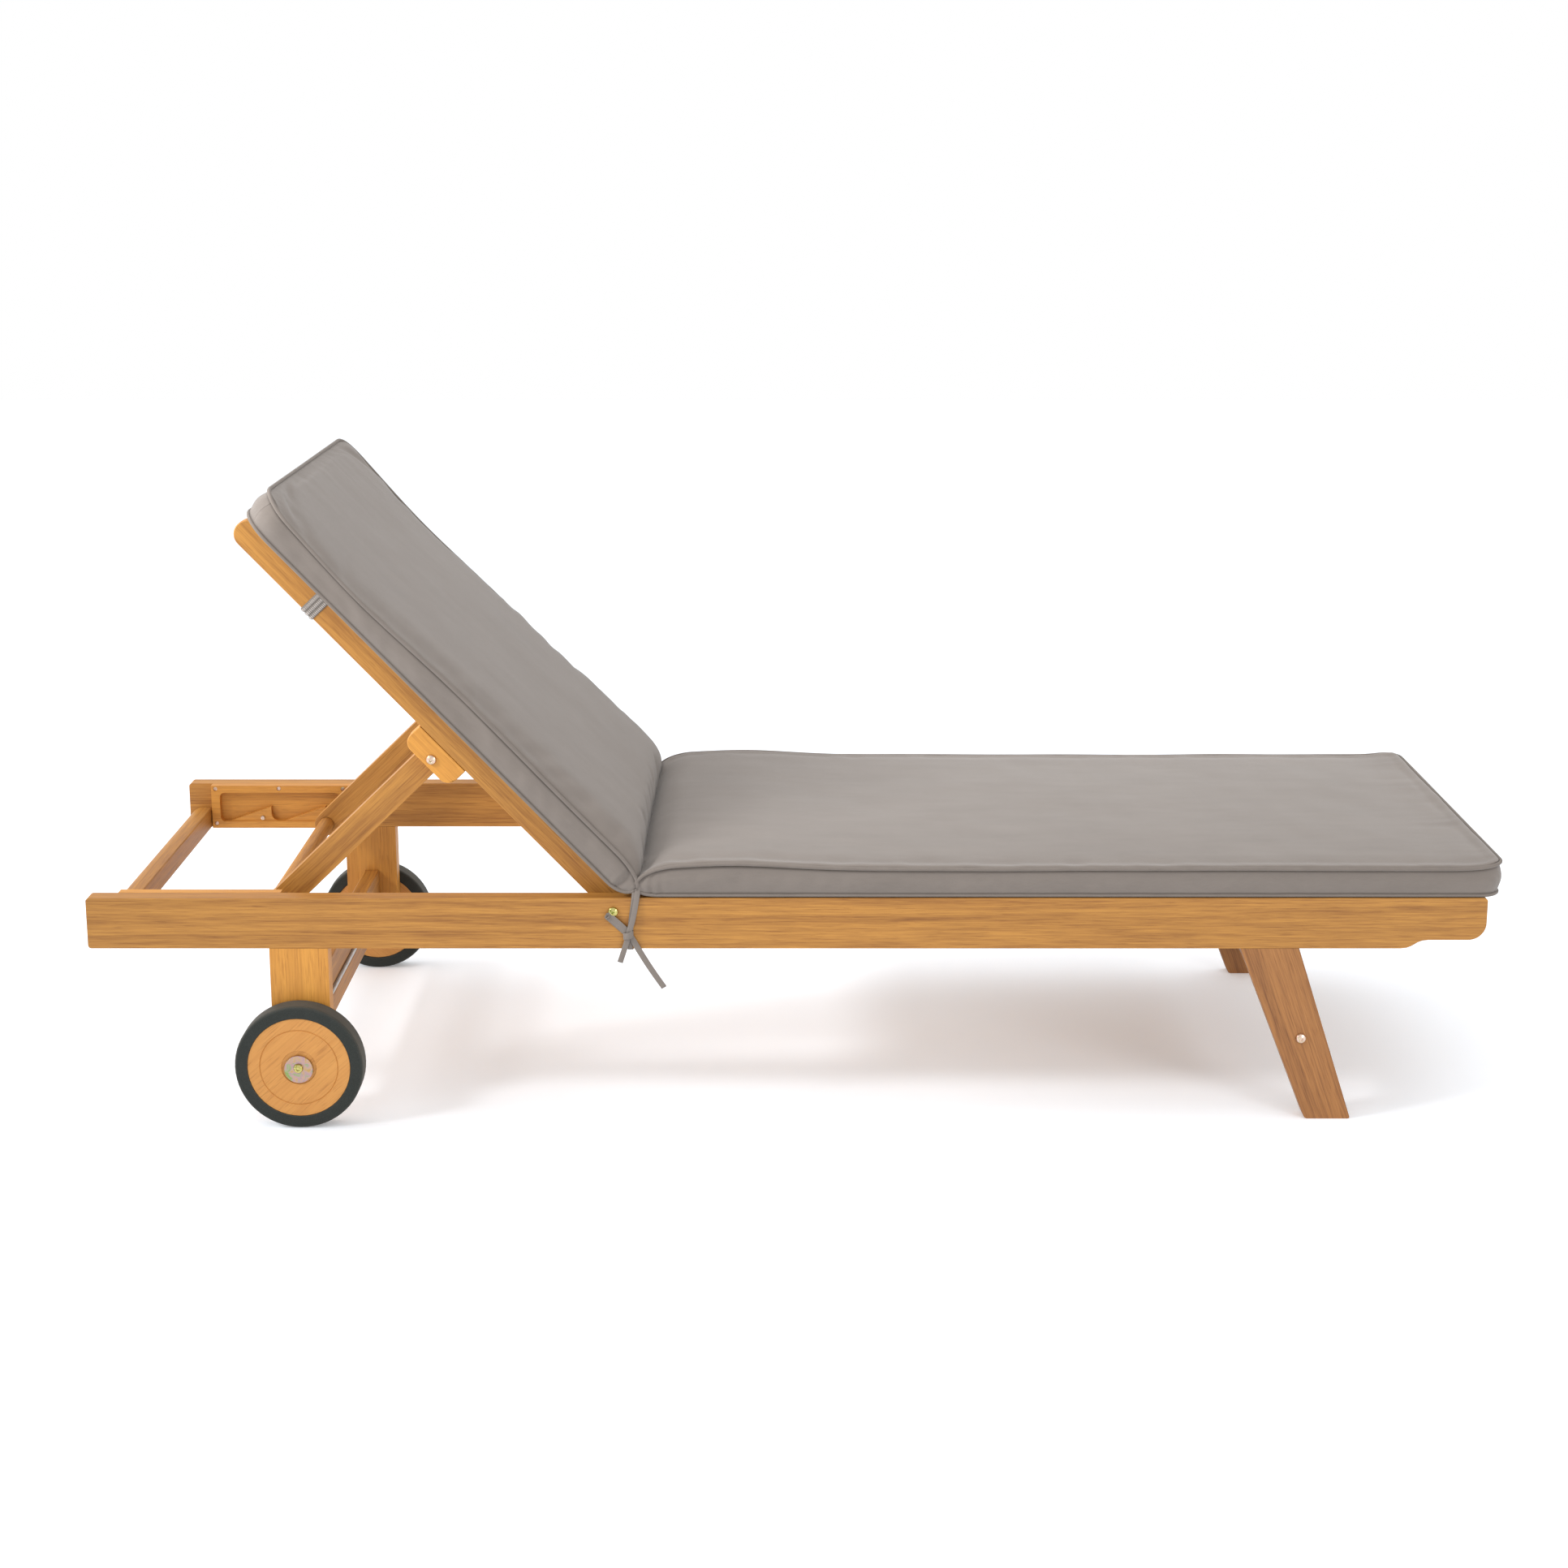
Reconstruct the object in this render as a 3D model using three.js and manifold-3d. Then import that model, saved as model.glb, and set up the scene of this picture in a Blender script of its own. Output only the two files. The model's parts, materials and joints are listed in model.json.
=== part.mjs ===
// A wheeled wooden sun lounger with a reclining back, a two-armed prop that steps along a notched track,
// and a two-piece cushion. Millimetres, +Z up, +X towards the foot end, -Y is the right-hand side.
// Lengths along X are measured from the head end of the side rails; the whole model is shifted at the end
// so that the origin is under the middle of the lounger, on the floor.

import * as THREE from "three";
import { mergeVertices } from "three/addons/utils/BufferGeometryUtils.js";
import Module from "manifold-3d";

// Overall frame
const RAIL_LENGTH = 2000;
const RAIL_THICKNESS = 26;
const RAIL_TOP = 335;
const RAIL_BOTTOM = 260;
const FRAME_HALF_WIDTH = 318;
const GAP = 0.3;
const CUSHION_OVERHANG = 22;

// Foot end of the side rails, where the lower edge steps up
const STEP_START = 1879;
const STEP_END = 1918;
const STEP_HEIGHT = 12.7;
const FOOT_CORNER_RADIUS = 25;
const SMALL_CORNER_RADIUS = 5;

// Wheels and the posts that carry them
const WHEEL_X = 301;
const WHEEL_RADIUS = 92;
const TYRE_THICKNESS = 18;
const TYRE_INNER_FACE = 320;
const TYRE_OUTER_FACE = 352;
const TYRE_SHOULDER = 4;
const DISC_INSET = 1.6;
const DISC_GROOVE_RADIUS = 56;
const DISC_GROOVE_WIDTH = 2;
const DISC_GROOVE_DEPTH = 1.6;
const HUB_RECESS_RADIUS = 25;
const HUB_RECESS_DEPTH = 1.5;
const POST_WIDTH = 84;
const POST_END_RADIUS = 42;
const AXLE_BOARD_X = [289, 313];
const AXLE_BOARD_Z = [138, 184];
const AXLE_BEAM_X = [284, 318];
const AXLE_BEAM_Z = [101, 132];
const TIE_ROD_RADIUS = 3;
const TIE_ROD_X = 315.6;
const TIE_ROD_Z = 135.4;
const AXLE_RADIUS = 8;
const HUB_WASHER_RADIUS = 20.5;
const HUB_WASHER_THICKNESS = 2.4;
const HUB_WASHER_DROP = 2;
const HUB_SCREW_SHANK_RADIUS = 3;
const HUB_SCREW_HEAD_RADIUS = 7;

// Foot legs, raked towards the foot end and tapered
const LEG_TOP = [1650, 1734];
const LEG_SOLE = [1753, 1819];
const LEG_CORNER_RADIUS = 4;
const STRETCHER_X = 1742;
const STRETCHER_Z = 124;
const STRETCHER_HEIGHT = 60;
const STRETCHER_THICKNESS = 22;

// Hidden tongues that join the posts and legs into the rails
const TENON_THICKNESS = 12;
const TENON_HEIGHT = 30;
const TENON_SHOULDER = 14;

// Recline hinge and the back frame
const PIVOT_X = 752.4;
const PIVOT_Z = 315.2;
const RECLINE_DEGREES = 46.7;
const STILE_LENGTH = 739;
const STILE_HALF_DEPTH = 20;
const STILE_INNER_FACE = 248;
const STILE_OUTER_FACE = 274;
const BACK_SLAT_COUNT = 7;
const BACK_SLAT_WIDTH = 76;
const BACK_SLAT_GAP = 19.5;
const BACK_SLAT_START = 40;
const SLAT_THICKNESS = 12;

// Prop that holds the back up, hung from a block under each stile
const PROP_PIVOT_ALONG = 332.7;
const PROP_PIVOT_BELOW = 43;
const BLOCK_LENGTH = 92;
const BLOCK_DEPTH = 35;
const BLOCK_CORNER_RADIUS = 16;
const PROP_REACH = 350;
const PROP_ARM_INNER_FACE = 222;
const PROP_ARM_OUTER_FACE = 246;
const PROP_ARM_END_RADIUS = 19;
const DOWEL_RADIUS = 12;
const DOWEL_ARM_SHOULDER = 247;
const DOWEL_NECK_RADIUS = 10;
const DOWEL_TIP_SHOULDER = 270;
const DOWEL_TIP = 280;
const DOWEL_TIP_RADIUS = 8.5;
const DOWEL_REST_HEIGHT = 284.5;

// Notched track plates on the inner faces of the rails
const PLATE_THICKNESS = 15;
const PLATE_X = [40, 273];
const PLATE_Z = [262, 335];
const POCKET_X = [54, 253.5];
const POCKET_Z = [273.2, 323];
const POCKET_DEPTH = 12;
const POCKET_CORNER_RADIUS = 8;
const RIDGE_DEPTH = 8.6;
const RIDGE_PEAK = 298;
const RIDGE_STARTS = [72, 163];
const MIDDLE_NOTCH_X = 151;
const NOTCH_RADIUS = 14;
const NOTCH_WALL_OFFSET = 12.5;
const PLATE_SCREWS = [
  [47, 329.5],
  [153, 330],
  [260, 329.5],
  [47, 270],
  [260, 268.5],
];
const RIDGE_SCREW = [124, 279];
const PLATE_SCREW_RADIUS = 3.6;
const PLATE_SCREW_DEPTH = 2.5;

// Cross rails and seat slats
const HEAD_RAIL_X = [2, 38];
const HEAD_RAIL_TOP = 294.6;
const HEAD_RAIL_NOSE = 20;
const CROSS_RAIL_BOTTOM = 262;
const FOOT_RAIL_BOTTOM = 276;
const HINGE_RAIL_X = [792, 818];
const FOOT_RAIL_X = [1932, 1958];
const CROSS_RAIL_TOP = 314.4;
const SEAT_SLAT_COUNT = 12;
const SEAT_SLAT_WIDTH = 77;
const SEAT_SLAT_PITCH = 98.6;
const SEAT_SLAT_START = 801;
const SEAT_SLAT_TOP = 327;
const GROOVE_DEPTH = 8;

// Bolts
const BOLT_RADIUS = 4;
const BOLT_HEAD_RADIUS = 7.5;
const BOLT_HEAD_HEIGHT = 5;
const SOCKET_RADIUS = 2.6;
const SOCKET_DEPTH = 2.4;
const SPACER_RADIUS = 11;
const HINGE_BOLT_TIP = 250;
const STRETCHER_BOLT_TIP = 240;
const PROP_BOLT_TIP = 228;
const HOLE_DEPTH = [205, 330];

// Cushions
const CUSHION_NEAR_EDGE = -312;
const CUSHION_FAR_EDGE = 306;
const CUSHION_CORNER_RADIUS = 26;
const CUSHION_EDGE_ROUNDING = 14;
const SEAT_CUSHION_START = 795;
const SEAT_CUSHION_TOP = 391;
const BACK_CUSHION_ALONG = [32, 757];
const BACK_CUSHION_OFF_STILE = [20.3, 76];

const RIGHT = -1;
const LEFT = 1;
const SIDES = { right: RIGHT, left: LEFT };

const RAIL_INNER_FACE = FRAME_HALF_WIDTH - RAIL_THICKNESS;
const INSIDE_RAILS = RAIL_INNER_FACE - GAP;

// Where the prop's dowel comes to rest on the track when the back is fully raised
const BACK_ANGLE = THREE.MathUtils.degToRad(RECLINE_DEGREES);
const PROP_PIVOT_RAISED_X =
  PIVOT_X - PROP_PIVOT_ALONG * Math.cos(BACK_ANGLE) - PROP_PIVOT_BELOW * Math.sin(BACK_ANGLE);
const PROP_PIVOT_RAISED_Z =
  PIVOT_Z + PROP_PIVOT_ALONG * Math.sin(BACK_ANGLE) - PROP_PIVOT_BELOW * Math.cos(BACK_ANGLE);
const PROP_SLOPE = Math.asin((PROP_PIVOT_RAISED_Z - DOWEL_REST_HEIGHT) / PROP_REACH);
const DOWEL_REST_X = PROP_PIVOT_RAISED_X - PROP_REACH * Math.cos(PROP_SLOPE);
const NOTCH_X = [MIDDLE_NOTCH_X, DOWEL_REST_X];

const wasm = await Module();
wasm.setup();

// Materials

function material(colour, roughness, metalness = 0) {
  return new THREE.MeshStandardMaterial({ color: colour, roughness, metalness });
}

const wood = () => material(0xc98a45, 0.55);
const darkWood = () => material(0xa8713f, 0.6);
const rubber = () => material(0x3a3e3d, 0.85);
const zinc = () => material(0xc2ae6a, 0.3, 0.9);
const steel = () => material(0x9a9c9e, 0.35, 0.9);
const fabric = () => material(0x8f877f, 0.95);

// Solids

function solidOf(geometry) {
  const bare = geometry.clone();
  bare.deleteAttribute("normal");
  bare.deleteAttribute("uv");
  const merged = mergeVertices(bare, 1e-4);
  return new wasm.Manifold(
    new wasm.Mesh({
      numProp: 3,
      vertProperties: merged.attributes.position.array,
      triVerts: new Uint32Array(merged.index.array),
    }),
  );
}

function geometryOf(solid) {
  const mesh = solid.getMesh();
  const geometry = new THREE.BufferGeometry();
  geometry.setAttribute("position", new THREE.BufferAttribute(mesh.vertProperties, 3));
  geometry.setIndex(new THREE.BufferAttribute(mesh.triVerts, 1));
  const flat = geometry.toNonIndexed();
  flat.computeVertexNormals();
  return flat;
}

function cut(body, ...tools) {
  return geometryOf(tools.reduce((solid, tool) => solid.subtract(solidOf(tool)), solidOf(body)));
}

function joined(body, ...additions) {
  return geometryOf(additions.reduce((solid, extra) => solid.add(solidOf(extra)), solidOf(body)));
}

// A face pair on one side of the mid-plane, given as distances from it, as [lowest y, highest y].
function across(side, inner, outer) {
  return side === LEFT ? [inner, outer] : [-outer, -inner];
}

function board([x0, x1], [y0, y1], [z0, z1]) {
  const block = new THREE.BoxGeometry(x1 - x0, y1 - y0, z1 - z0);
  return block.translate((x0 + x1) / 2, (y0 + y1) / 2, (z0 + z1) / 2);
}

// An outline in the side plane (x to the right, z up) carried through from y0 to y1.
function slab(outline, [y0, y1], curveSegments = 6) {
  const geometry = new THREE.ExtrudeGeometry(outline, { depth: y1 - y0, bevelEnabled: false, curveSegments });
  return geometry.rotateX(Math.PI / 2).translate(0, y1, 0);
}

function rodAcross(radius, [y0, y1], x, z, segments = 16) {
  return new THREE.CylinderGeometry(radius, radius, y1 - y0, segments).translate(x, (y0 + y1) / 2, z);
}

// A turned piece whose axis lies across the lounger; profile pairs are [radius, distance from the mid-plane].
function turnedAcross(side, profile, x, z, segments) {
  const points = profile.map(([radius, distance]) => new THREE.Vector2(radius, side * distance));
  if (side === RIGHT) points.reverse();
  return new THREE.LatheGeometry(points, segments).translate(x, 0, z);
}

// Outlines

function roundedRectangle(x0, x1, z0, z1, radius) {
  const outline = new THREE.Shape();
  outline.moveTo(x0 + radius, z0);
  outline.lineTo(x1 - radius, z0);
  outline.absarc(x1 - radius, z0 + radius, radius, -Math.PI / 2, 0);
  outline.lineTo(x1, z1 - radius);
  outline.absarc(x1 - radius, z1 - radius, radius, 0, Math.PI / 2);
  outline.lineTo(x0 + radius, z1);
  outline.absarc(x0 + radius, z1 - radius, radius, Math.PI / 2, Math.PI);
  outline.lineTo(x0, z0 + radius);
  outline.absarc(x0 + radius, z0 + radius, radius, Math.PI, 1.5 * Math.PI);
  return outline;
}

// A bar with two round ends, from the origin towards -x.
function roundEndedBar(length, radius) {
  const outline = new THREE.Shape();
  outline.moveTo(-length, -radius);
  outline.lineTo(0, -radius);
  outline.absarc(0, 0, radius, -Math.PI / 2, Math.PI / 2);
  outline.lineTo(-length, radius);
  outline.absarc(-length, 0, radius, Math.PI / 2, 1.5 * Math.PI);
  return outline;
}

function railOutline() {
  const bottom = RAIL_BOTTOM;
  const raised = RAIL_BOTTOM + STEP_HEIGHT;
  const small = SMALL_CORNER_RADIUS;
  const big = FOOT_CORNER_RADIUS;
  const stepMiddle = (STEP_START + STEP_END) / 2;
  const outline = new THREE.Shape();
  outline.moveTo(small, bottom);
  outline.lineTo(STEP_START, bottom);
  outline.bezierCurveTo(stepMiddle, bottom, stepMiddle, raised, STEP_END, raised);
  outline.lineTo(RAIL_LENGTH - big, raised);
  outline.absarc(RAIL_LENGTH - big, raised + big, big, -Math.PI / 2, 0);
  outline.lineTo(RAIL_LENGTH, RAIL_TOP - small);
  outline.absarc(RAIL_LENGTH - small, RAIL_TOP - small, small, 0, Math.PI / 2);
  outline.lineTo(small, RAIL_TOP);
  outline.absarc(small, RAIL_TOP - small, small, Math.PI / 2, Math.PI);
  outline.lineTo(0, bottom + small);
  outline.absarc(small, bottom + small, small, Math.PI, 1.5 * Math.PI);
  return outline;
}

function legOutline() {
  const top = RAIL_BOTTOM - GAP;
  const r = LEG_CORNER_RADIUS;
  const [soleBack, soleFront] = LEG_SOLE;
  const [topBack, topFront] = LEG_TOP;
  const outline = new THREE.Shape();
  outline.moveTo(soleBack + r, 0);
  outline.lineTo(soleFront - r, 0);
  outline.quadraticCurveTo(soleFront, 0, soleFront - (r * (soleFront - topFront)) / top, r);
  outline.lineTo(topFront, top);
  outline.lineTo(topBack, top);
  outline.lineTo(soleBack - (r * (soleBack - topBack)) / top, r);
  outline.quadraticCurveTo(soleBack, 0, soleBack + r, 0);
  return outline;
}

function postOutline() {
  const top = RAIL_BOTTOM - GAP;
  const half = POST_WIDTH / 2;
  const outline = new THREE.Shape();
  outline.moveTo(WHEEL_X - half, top);
  outline.lineTo(WHEEL_X - half, WHEEL_RADIUS);
  outline.absarc(WHEEL_X, WHEEL_RADIUS, POST_END_RADIUS, Math.PI, 2 * Math.PI);
  outline.lineTo(WHEEL_X + half, top);
  return outline;
}

// A ramp that climbs towards the foot end, then drops through a round-bottomed notch wall.
function ridgeOutline(start, notchX) {
  const floor = POCKET_Z[0] - 2;
  const wallX = notchX - NOTCH_WALL_OFFSET;
  const arcCentreZ = POCKET_Z[0] + NOTCH_RADIUS;
  const outline = new THREE.Shape();
  outline.moveTo(start - 4, floor);
  outline.lineTo(start, POCKET_Z[0] + 1);
  outline.lineTo(wallX, RIDGE_PEAK);
  outline.lineTo(wallX, arcCentreZ);
  outline.absarc(wallX + NOTCH_RADIUS, arcCentreZ, NOTCH_RADIUS, Math.PI, 1.5 * Math.PI);
  outline.lineTo(wallX + NOTCH_RADIUS, floor);
  return outline;
}

// Pieces of the frame

function mortise(side, [x0, x1]) {
  const middle = FRAME_HALF_WIDTH - RAIL_THICKNESS / 2;
  const half = TENON_THICKNESS / 2 + GAP;
  return board(
    [x0 + TENON_SHOULDER - GAP, x1 - TENON_SHOULDER + GAP],
    across(side, middle - half, middle + half),
    [RAIL_BOTTOM - 1, RAIL_BOTTOM + TENON_HEIGHT + GAP],
  );
}

function tenon(side, [x0, x1]) {
  const middle = FRAME_HALF_WIDTH - RAIL_THICKNESS / 2;
  const half = TENON_THICKNESS / 2;
  return board(
    [x0 + TENON_SHOULDER, x1 - TENON_SHOULDER],
    across(side, middle - half, middle + half),
    [RAIL_BOTTOM - 5, RAIL_BOTTOM + TENON_HEIGHT],
  );
}

const postSpan = [WHEEL_X - POST_WIDTH / 2, WHEEL_X + POST_WIDTH / 2];
const railWidth = (side) => across(side, RAIL_INNER_FACE, FRAME_HALF_WIDTH);
const clearHole = (side, x, z) => rodAcross(BOLT_RADIUS + GAP, across(side, ...HOLE_DEPTH), x, z);

function sideRail(side) {
  const grooveEnd = SEAT_SLAT_START + SEAT_SLAT_PITCH * (SEAT_SLAT_COUNT - 1) + SEAT_SLAT_WIDTH;
  const slatGroove = board(
    [SEAT_SLAT_START - 3, grooveEnd + 3],
    across(side, RAIL_INNER_FACE - 1, RAIL_INNER_FACE + GROOVE_DEPTH),
    [SEAT_SLAT_TOP - SLAT_THICKNESS - GAP, SEAT_SLAT_TOP + GAP],
  );
  return cut(
    slab(railOutline(), railWidth(side)),
    slatGroove,
    mortise(side, postSpan),
    mortise(side, LEG_TOP),
    clearHole(side, PIVOT_X, PIVOT_Z),
  );
}

function wheelPost(side) {
  const whole = joined(slab(postOutline(), railWidth(side), 12), tenon(side, postSpan));
  return cut(whole, rodAcross(AXLE_RADIUS + GAP, across(side, 280, 330), WHEEL_X, WHEEL_RADIUS));
}

function footLeg(side) {
  const whole = joined(slab(legOutline(), railWidth(side), 4), tenon(side, LEG_TOP));
  return cut(whole, clearHole(side, STRETCHER_X, STRETCHER_Z));
}

function headRail() {
  const [x0, x1] = HEAD_RAIL_X;
  const z0 = CROSS_RAIL_BOTTOM;
  const outline = new THREE.Shape();
  outline.moveTo(x0, z0);
  outline.lineTo(x1, z0);
  outline.lineTo(x1, HEAD_RAIL_TOP);
  outline.lineTo(x0 + HEAD_RAIL_NOSE, HEAD_RAIL_TOP);
  outline.absarc(x0 + HEAD_RAIL_NOSE, HEAD_RAIL_TOP - HEAD_RAIL_NOSE, HEAD_RAIL_NOSE, Math.PI / 2, Math.PI);
  return slab(outline, [-INSIDE_RAILS, INSIDE_RAILS], 8);
}

function legStretcher() {
  const rake = Math.atan2(LEG_SOLE[0] + LEG_SOLE[1] - LEG_TOP[0] - LEG_TOP[1], 2 * RAIL_BOTTOM);
  const half = INSIDE_RAILS;
  const body = new THREE.BoxGeometry(STRETCHER_THICKNESS, 2 * half, STRETCHER_HEIGHT);
  body.rotateY(-rake).translate(STRETCHER_X, 0, STRETCHER_Z);
  const endHoles = Object.values(SIDES).map((side) => clearHole(side, STRETCHER_X, STRETCHER_Z));
  return cut(body, ...endHoles);
}

function trackPlate(side) {
  const inner = RAIL_INNER_FACE - PLATE_THICKNESS;
  const backWall = inner + POCKET_DEPTH;
  const plate = board(PLATE_X, across(side, inner, RAIL_INNER_FACE - GAP), PLATE_Z);
  const pocket = slab(
    roundedRectangle(...POCKET_X, ...POCKET_Z, POCKET_CORNER_RADIUS),
    across(side, inner - 1, backWall),
    4,
  );
  const screwHole = ([x, z], face) =>
    rodAcross(PLATE_SCREW_RADIUS, across(side, face - 1, face + PLATE_SCREW_DEPTH), x, z, 12);
  const ridges = RIDGE_STARTS.map((start, i) =>
    slab(ridgeOutline(start, NOTCH_X[i]), across(side, backWall - RIDGE_DEPTH, backWall + 0.5), 5),
  );
  const notched = joined(cut(plate, pocket), ...ridges);
  const faceHoles = PLATE_SCREWS.map((place) => screwHole(place, inner));
  return cut(notched, ...faceHoles, screwHole(RIDGE_SCREW, backWall - RIDGE_DEPTH));
}

// A domed bolt with a hexagonal socket in its head.
function domedBolt(side, tip, seat, x, z, shank = BOLT_RADIUS, head = BOLT_HEAD_RADIUS) {
  const profile = [[0, tip], [shank, tip], [shank, seat], [head, seat], [head, seat + 1]];
  const steps = 3;
  for (let i = 1; i <= steps; i++) {
    const angle = (i / steps) * (Math.PI / 2);
    const height = seat + 1 + (BOLT_HEAD_HEIGHT - 1) * Math.sin(angle);
    profile.push([i === steps ? 0 : head * Math.cos(angle), height]);
  }
  const top = seat + BOLT_HEAD_HEIGHT;
  const socket = rodAcross(SOCKET_RADIUS, across(side, top - SOCKET_DEPTH, top + 1), x, z, 6);
  return cut(turnedAcross(side, profile, x, z, 14), socket);
}

function ring(side, inner, outer, bore, radius, x, z, segments = 16) {
  const profile = [[bore, inner], [radius, inner], [radius, outer], [bore, outer], [bore, inner]];
  return turnedAcross(side, profile, x, z, segments);
}

// Pieces of the wheels

function wheelDisc(side) {
  const radius = WHEEL_RADIUS - TYRE_THICKNESS - GAP;
  const inner = TYRE_INNER_FACE + DISC_INSET;
  const outer = TYRE_OUTER_FACE - DISC_INSET;
  const bore = AXLE_RADIUS + GAP;
  const grooveFloor = outer - DISC_GROOVE_DEPTH;
  const recess = outer - HUB_RECESS_DEPTH;
  const profile = [
    [bore, inner],
    [radius, inner],
    [radius, outer],
    [DISC_GROOVE_RADIUS + DISC_GROOVE_WIDTH / 2, outer],
    [DISC_GROOVE_RADIUS, grooveFloor],
    [DISC_GROOVE_RADIUS - DISC_GROOVE_WIDTH / 2, outer],
    [HUB_RECESS_RADIUS, outer],
    [HUB_RECESS_RADIUS, recess],
    [bore, recess],
    [bore, inner],
  ];
  return turnedAcross(side, profile, WHEEL_X, WHEEL_RADIUS, 48);
}

function tyre(side) {
  const bore = WHEEL_RADIUS - TYRE_THICKNESS;
  const flank = WHEEL_RADIUS - TYRE_SHOULDER;
  const profile = [
    [bore, TYRE_INNER_FACE],
    [flank, TYRE_INNER_FACE],
    [WHEEL_RADIUS - 1.2, TYRE_INNER_FACE + 1.2],
    [WHEEL_RADIUS, TYRE_INNER_FACE + TYRE_SHOULDER],
    [WHEEL_RADIUS, TYRE_OUTER_FACE - TYRE_SHOULDER],
    [WHEEL_RADIUS - 1.2, TYRE_OUTER_FACE - 1.2],
    [flank, TYRE_OUTER_FACE],
    [bore, TYRE_OUTER_FACE],
    [bore, TYRE_INNER_FACE],
  ];
  return turnedAcross(side, profile, WHEEL_X, WHEEL_RADIUS, 64);
}

// Pieces of the back, in the frame of the recline hinge: -x runs up the stile, +z points out of its front

function stile(side) {
  const body = slab(
    roundEndedBar(STILE_LENGTH, STILE_HALF_DEPTH),
    across(side, STILE_INNER_FACE, STILE_OUTER_FACE),
    10,
  );
  return cut(body, clearHole(side, 0, 0));
}

function propBlock(side) {
  const middle = -PROP_PIVOT_ALONG;
  const top = -STILE_HALF_DEPTH - GAP;
  const bottom = top - BLOCK_DEPTH;
  const half = BLOCK_LENGTH / 2;
  const r = BLOCK_CORNER_RADIUS;
  const outline = new THREE.Shape();
  outline.moveTo(middle - half + r, bottom);
  outline.lineTo(middle + half - r, bottom);
  outline.absarc(middle + half - r, bottom + r, r, -Math.PI / 2, 0);
  outline.lineTo(middle + half, top);
  outline.lineTo(middle - half, top);
  outline.lineTo(middle - half, bottom + r);
  outline.absarc(middle - half + r, bottom + r, r, Math.PI, 1.5 * Math.PI);
  const body = slab(outline, across(side, STILE_INNER_FACE, STILE_OUTER_FACE));
  return cut(body, clearHole(side, middle, -PROP_PIVOT_BELOW));
}

function backSlat(index) {
  const start = -BACK_SLAT_START - index * (BACK_SLAT_WIDTH + BACK_SLAT_GAP);
  const half = STILE_INNER_FACE - GAP;
  const top = STILE_HALF_DEPTH;
  return board([start - BACK_SLAT_WIDTH, start], [-half, half], [top - SLAT_THICKNESS, top]);
}

// Pieces of the prop, in the frame of its pivot: -x runs along the arms to the dowel

function propArm(side) {
  const body = slab(
    roundEndedBar(PROP_REACH, PROP_ARM_END_RADIUS),
    across(side, PROP_ARM_INNER_FACE, PROP_ARM_OUTER_FACE),
    8,
  );
  const dowelHole = rodAcross(DOWEL_RADIUS + GAP, across(side, ...HOLE_DEPTH), -PROP_REACH, 0, 24);
  return cut(body, dowelHole, clearHole(side, 0, 0));
}

function propDowel() {
  const profile = [
    [0, DOWEL_TIP],
    [DOWEL_TIP_RADIUS, DOWEL_TIP],
    [DOWEL_TIP_RADIUS, DOWEL_TIP_SHOULDER],
    [DOWEL_NECK_RADIUS, DOWEL_TIP_SHOULDER],
    [DOWEL_NECK_RADIUS, DOWEL_ARM_SHOULDER],
    [DOWEL_RADIUS, DOWEL_ARM_SHOULDER],
  ];
  const mirrored = profile.map(([radius, distance]) => [radius, -distance]);
  const whole = [...mirrored, ...profile.reverse()];
  return turnedAcross(LEFT, whole, -PROP_REACH, 0, 24);
}

// A plain pad with rounded corners in plan and rounded edges.
function cushion([x0, x1], [z0, z1]) {
  const edge = CUSHION_EDGE_ROUNDING;
  const outline = roundedRectangle(
    x0 + edge,
    x1 - edge,
    CUSHION_NEAR_EDGE + edge,
    CUSHION_FAR_EDGE - edge,
    CUSHION_CORNER_RADIUS - edge,
  );
  return new THREE.ExtrudeGeometry(outline, {
    depth: z1 - z0 - 2 * edge,
    bevelThickness: edge,
    bevelSize: edge,
    bevelSegments: 3,
    curveSegments: 4,
  }).translate(0, 0, z0 + edge);
}

// Assembly

function addMesh(group, name, geometry, meshMaterial) {
  const mesh = new THREE.Mesh(geometry, meshMaterial);
  mesh.name = name;
  group.add(mesh);
}

function addForEachSide(group, name, make, makeMaterial) {
  for (const [sideName, side] of Object.entries(SIDES)) {
    addMesh(group, `${name}_${sideName}`, make(side), makeMaterial());
  }
}

const numbered = (name, index) => `${name}_${String(index + 1).padStart(2, "0")}`;

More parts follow.
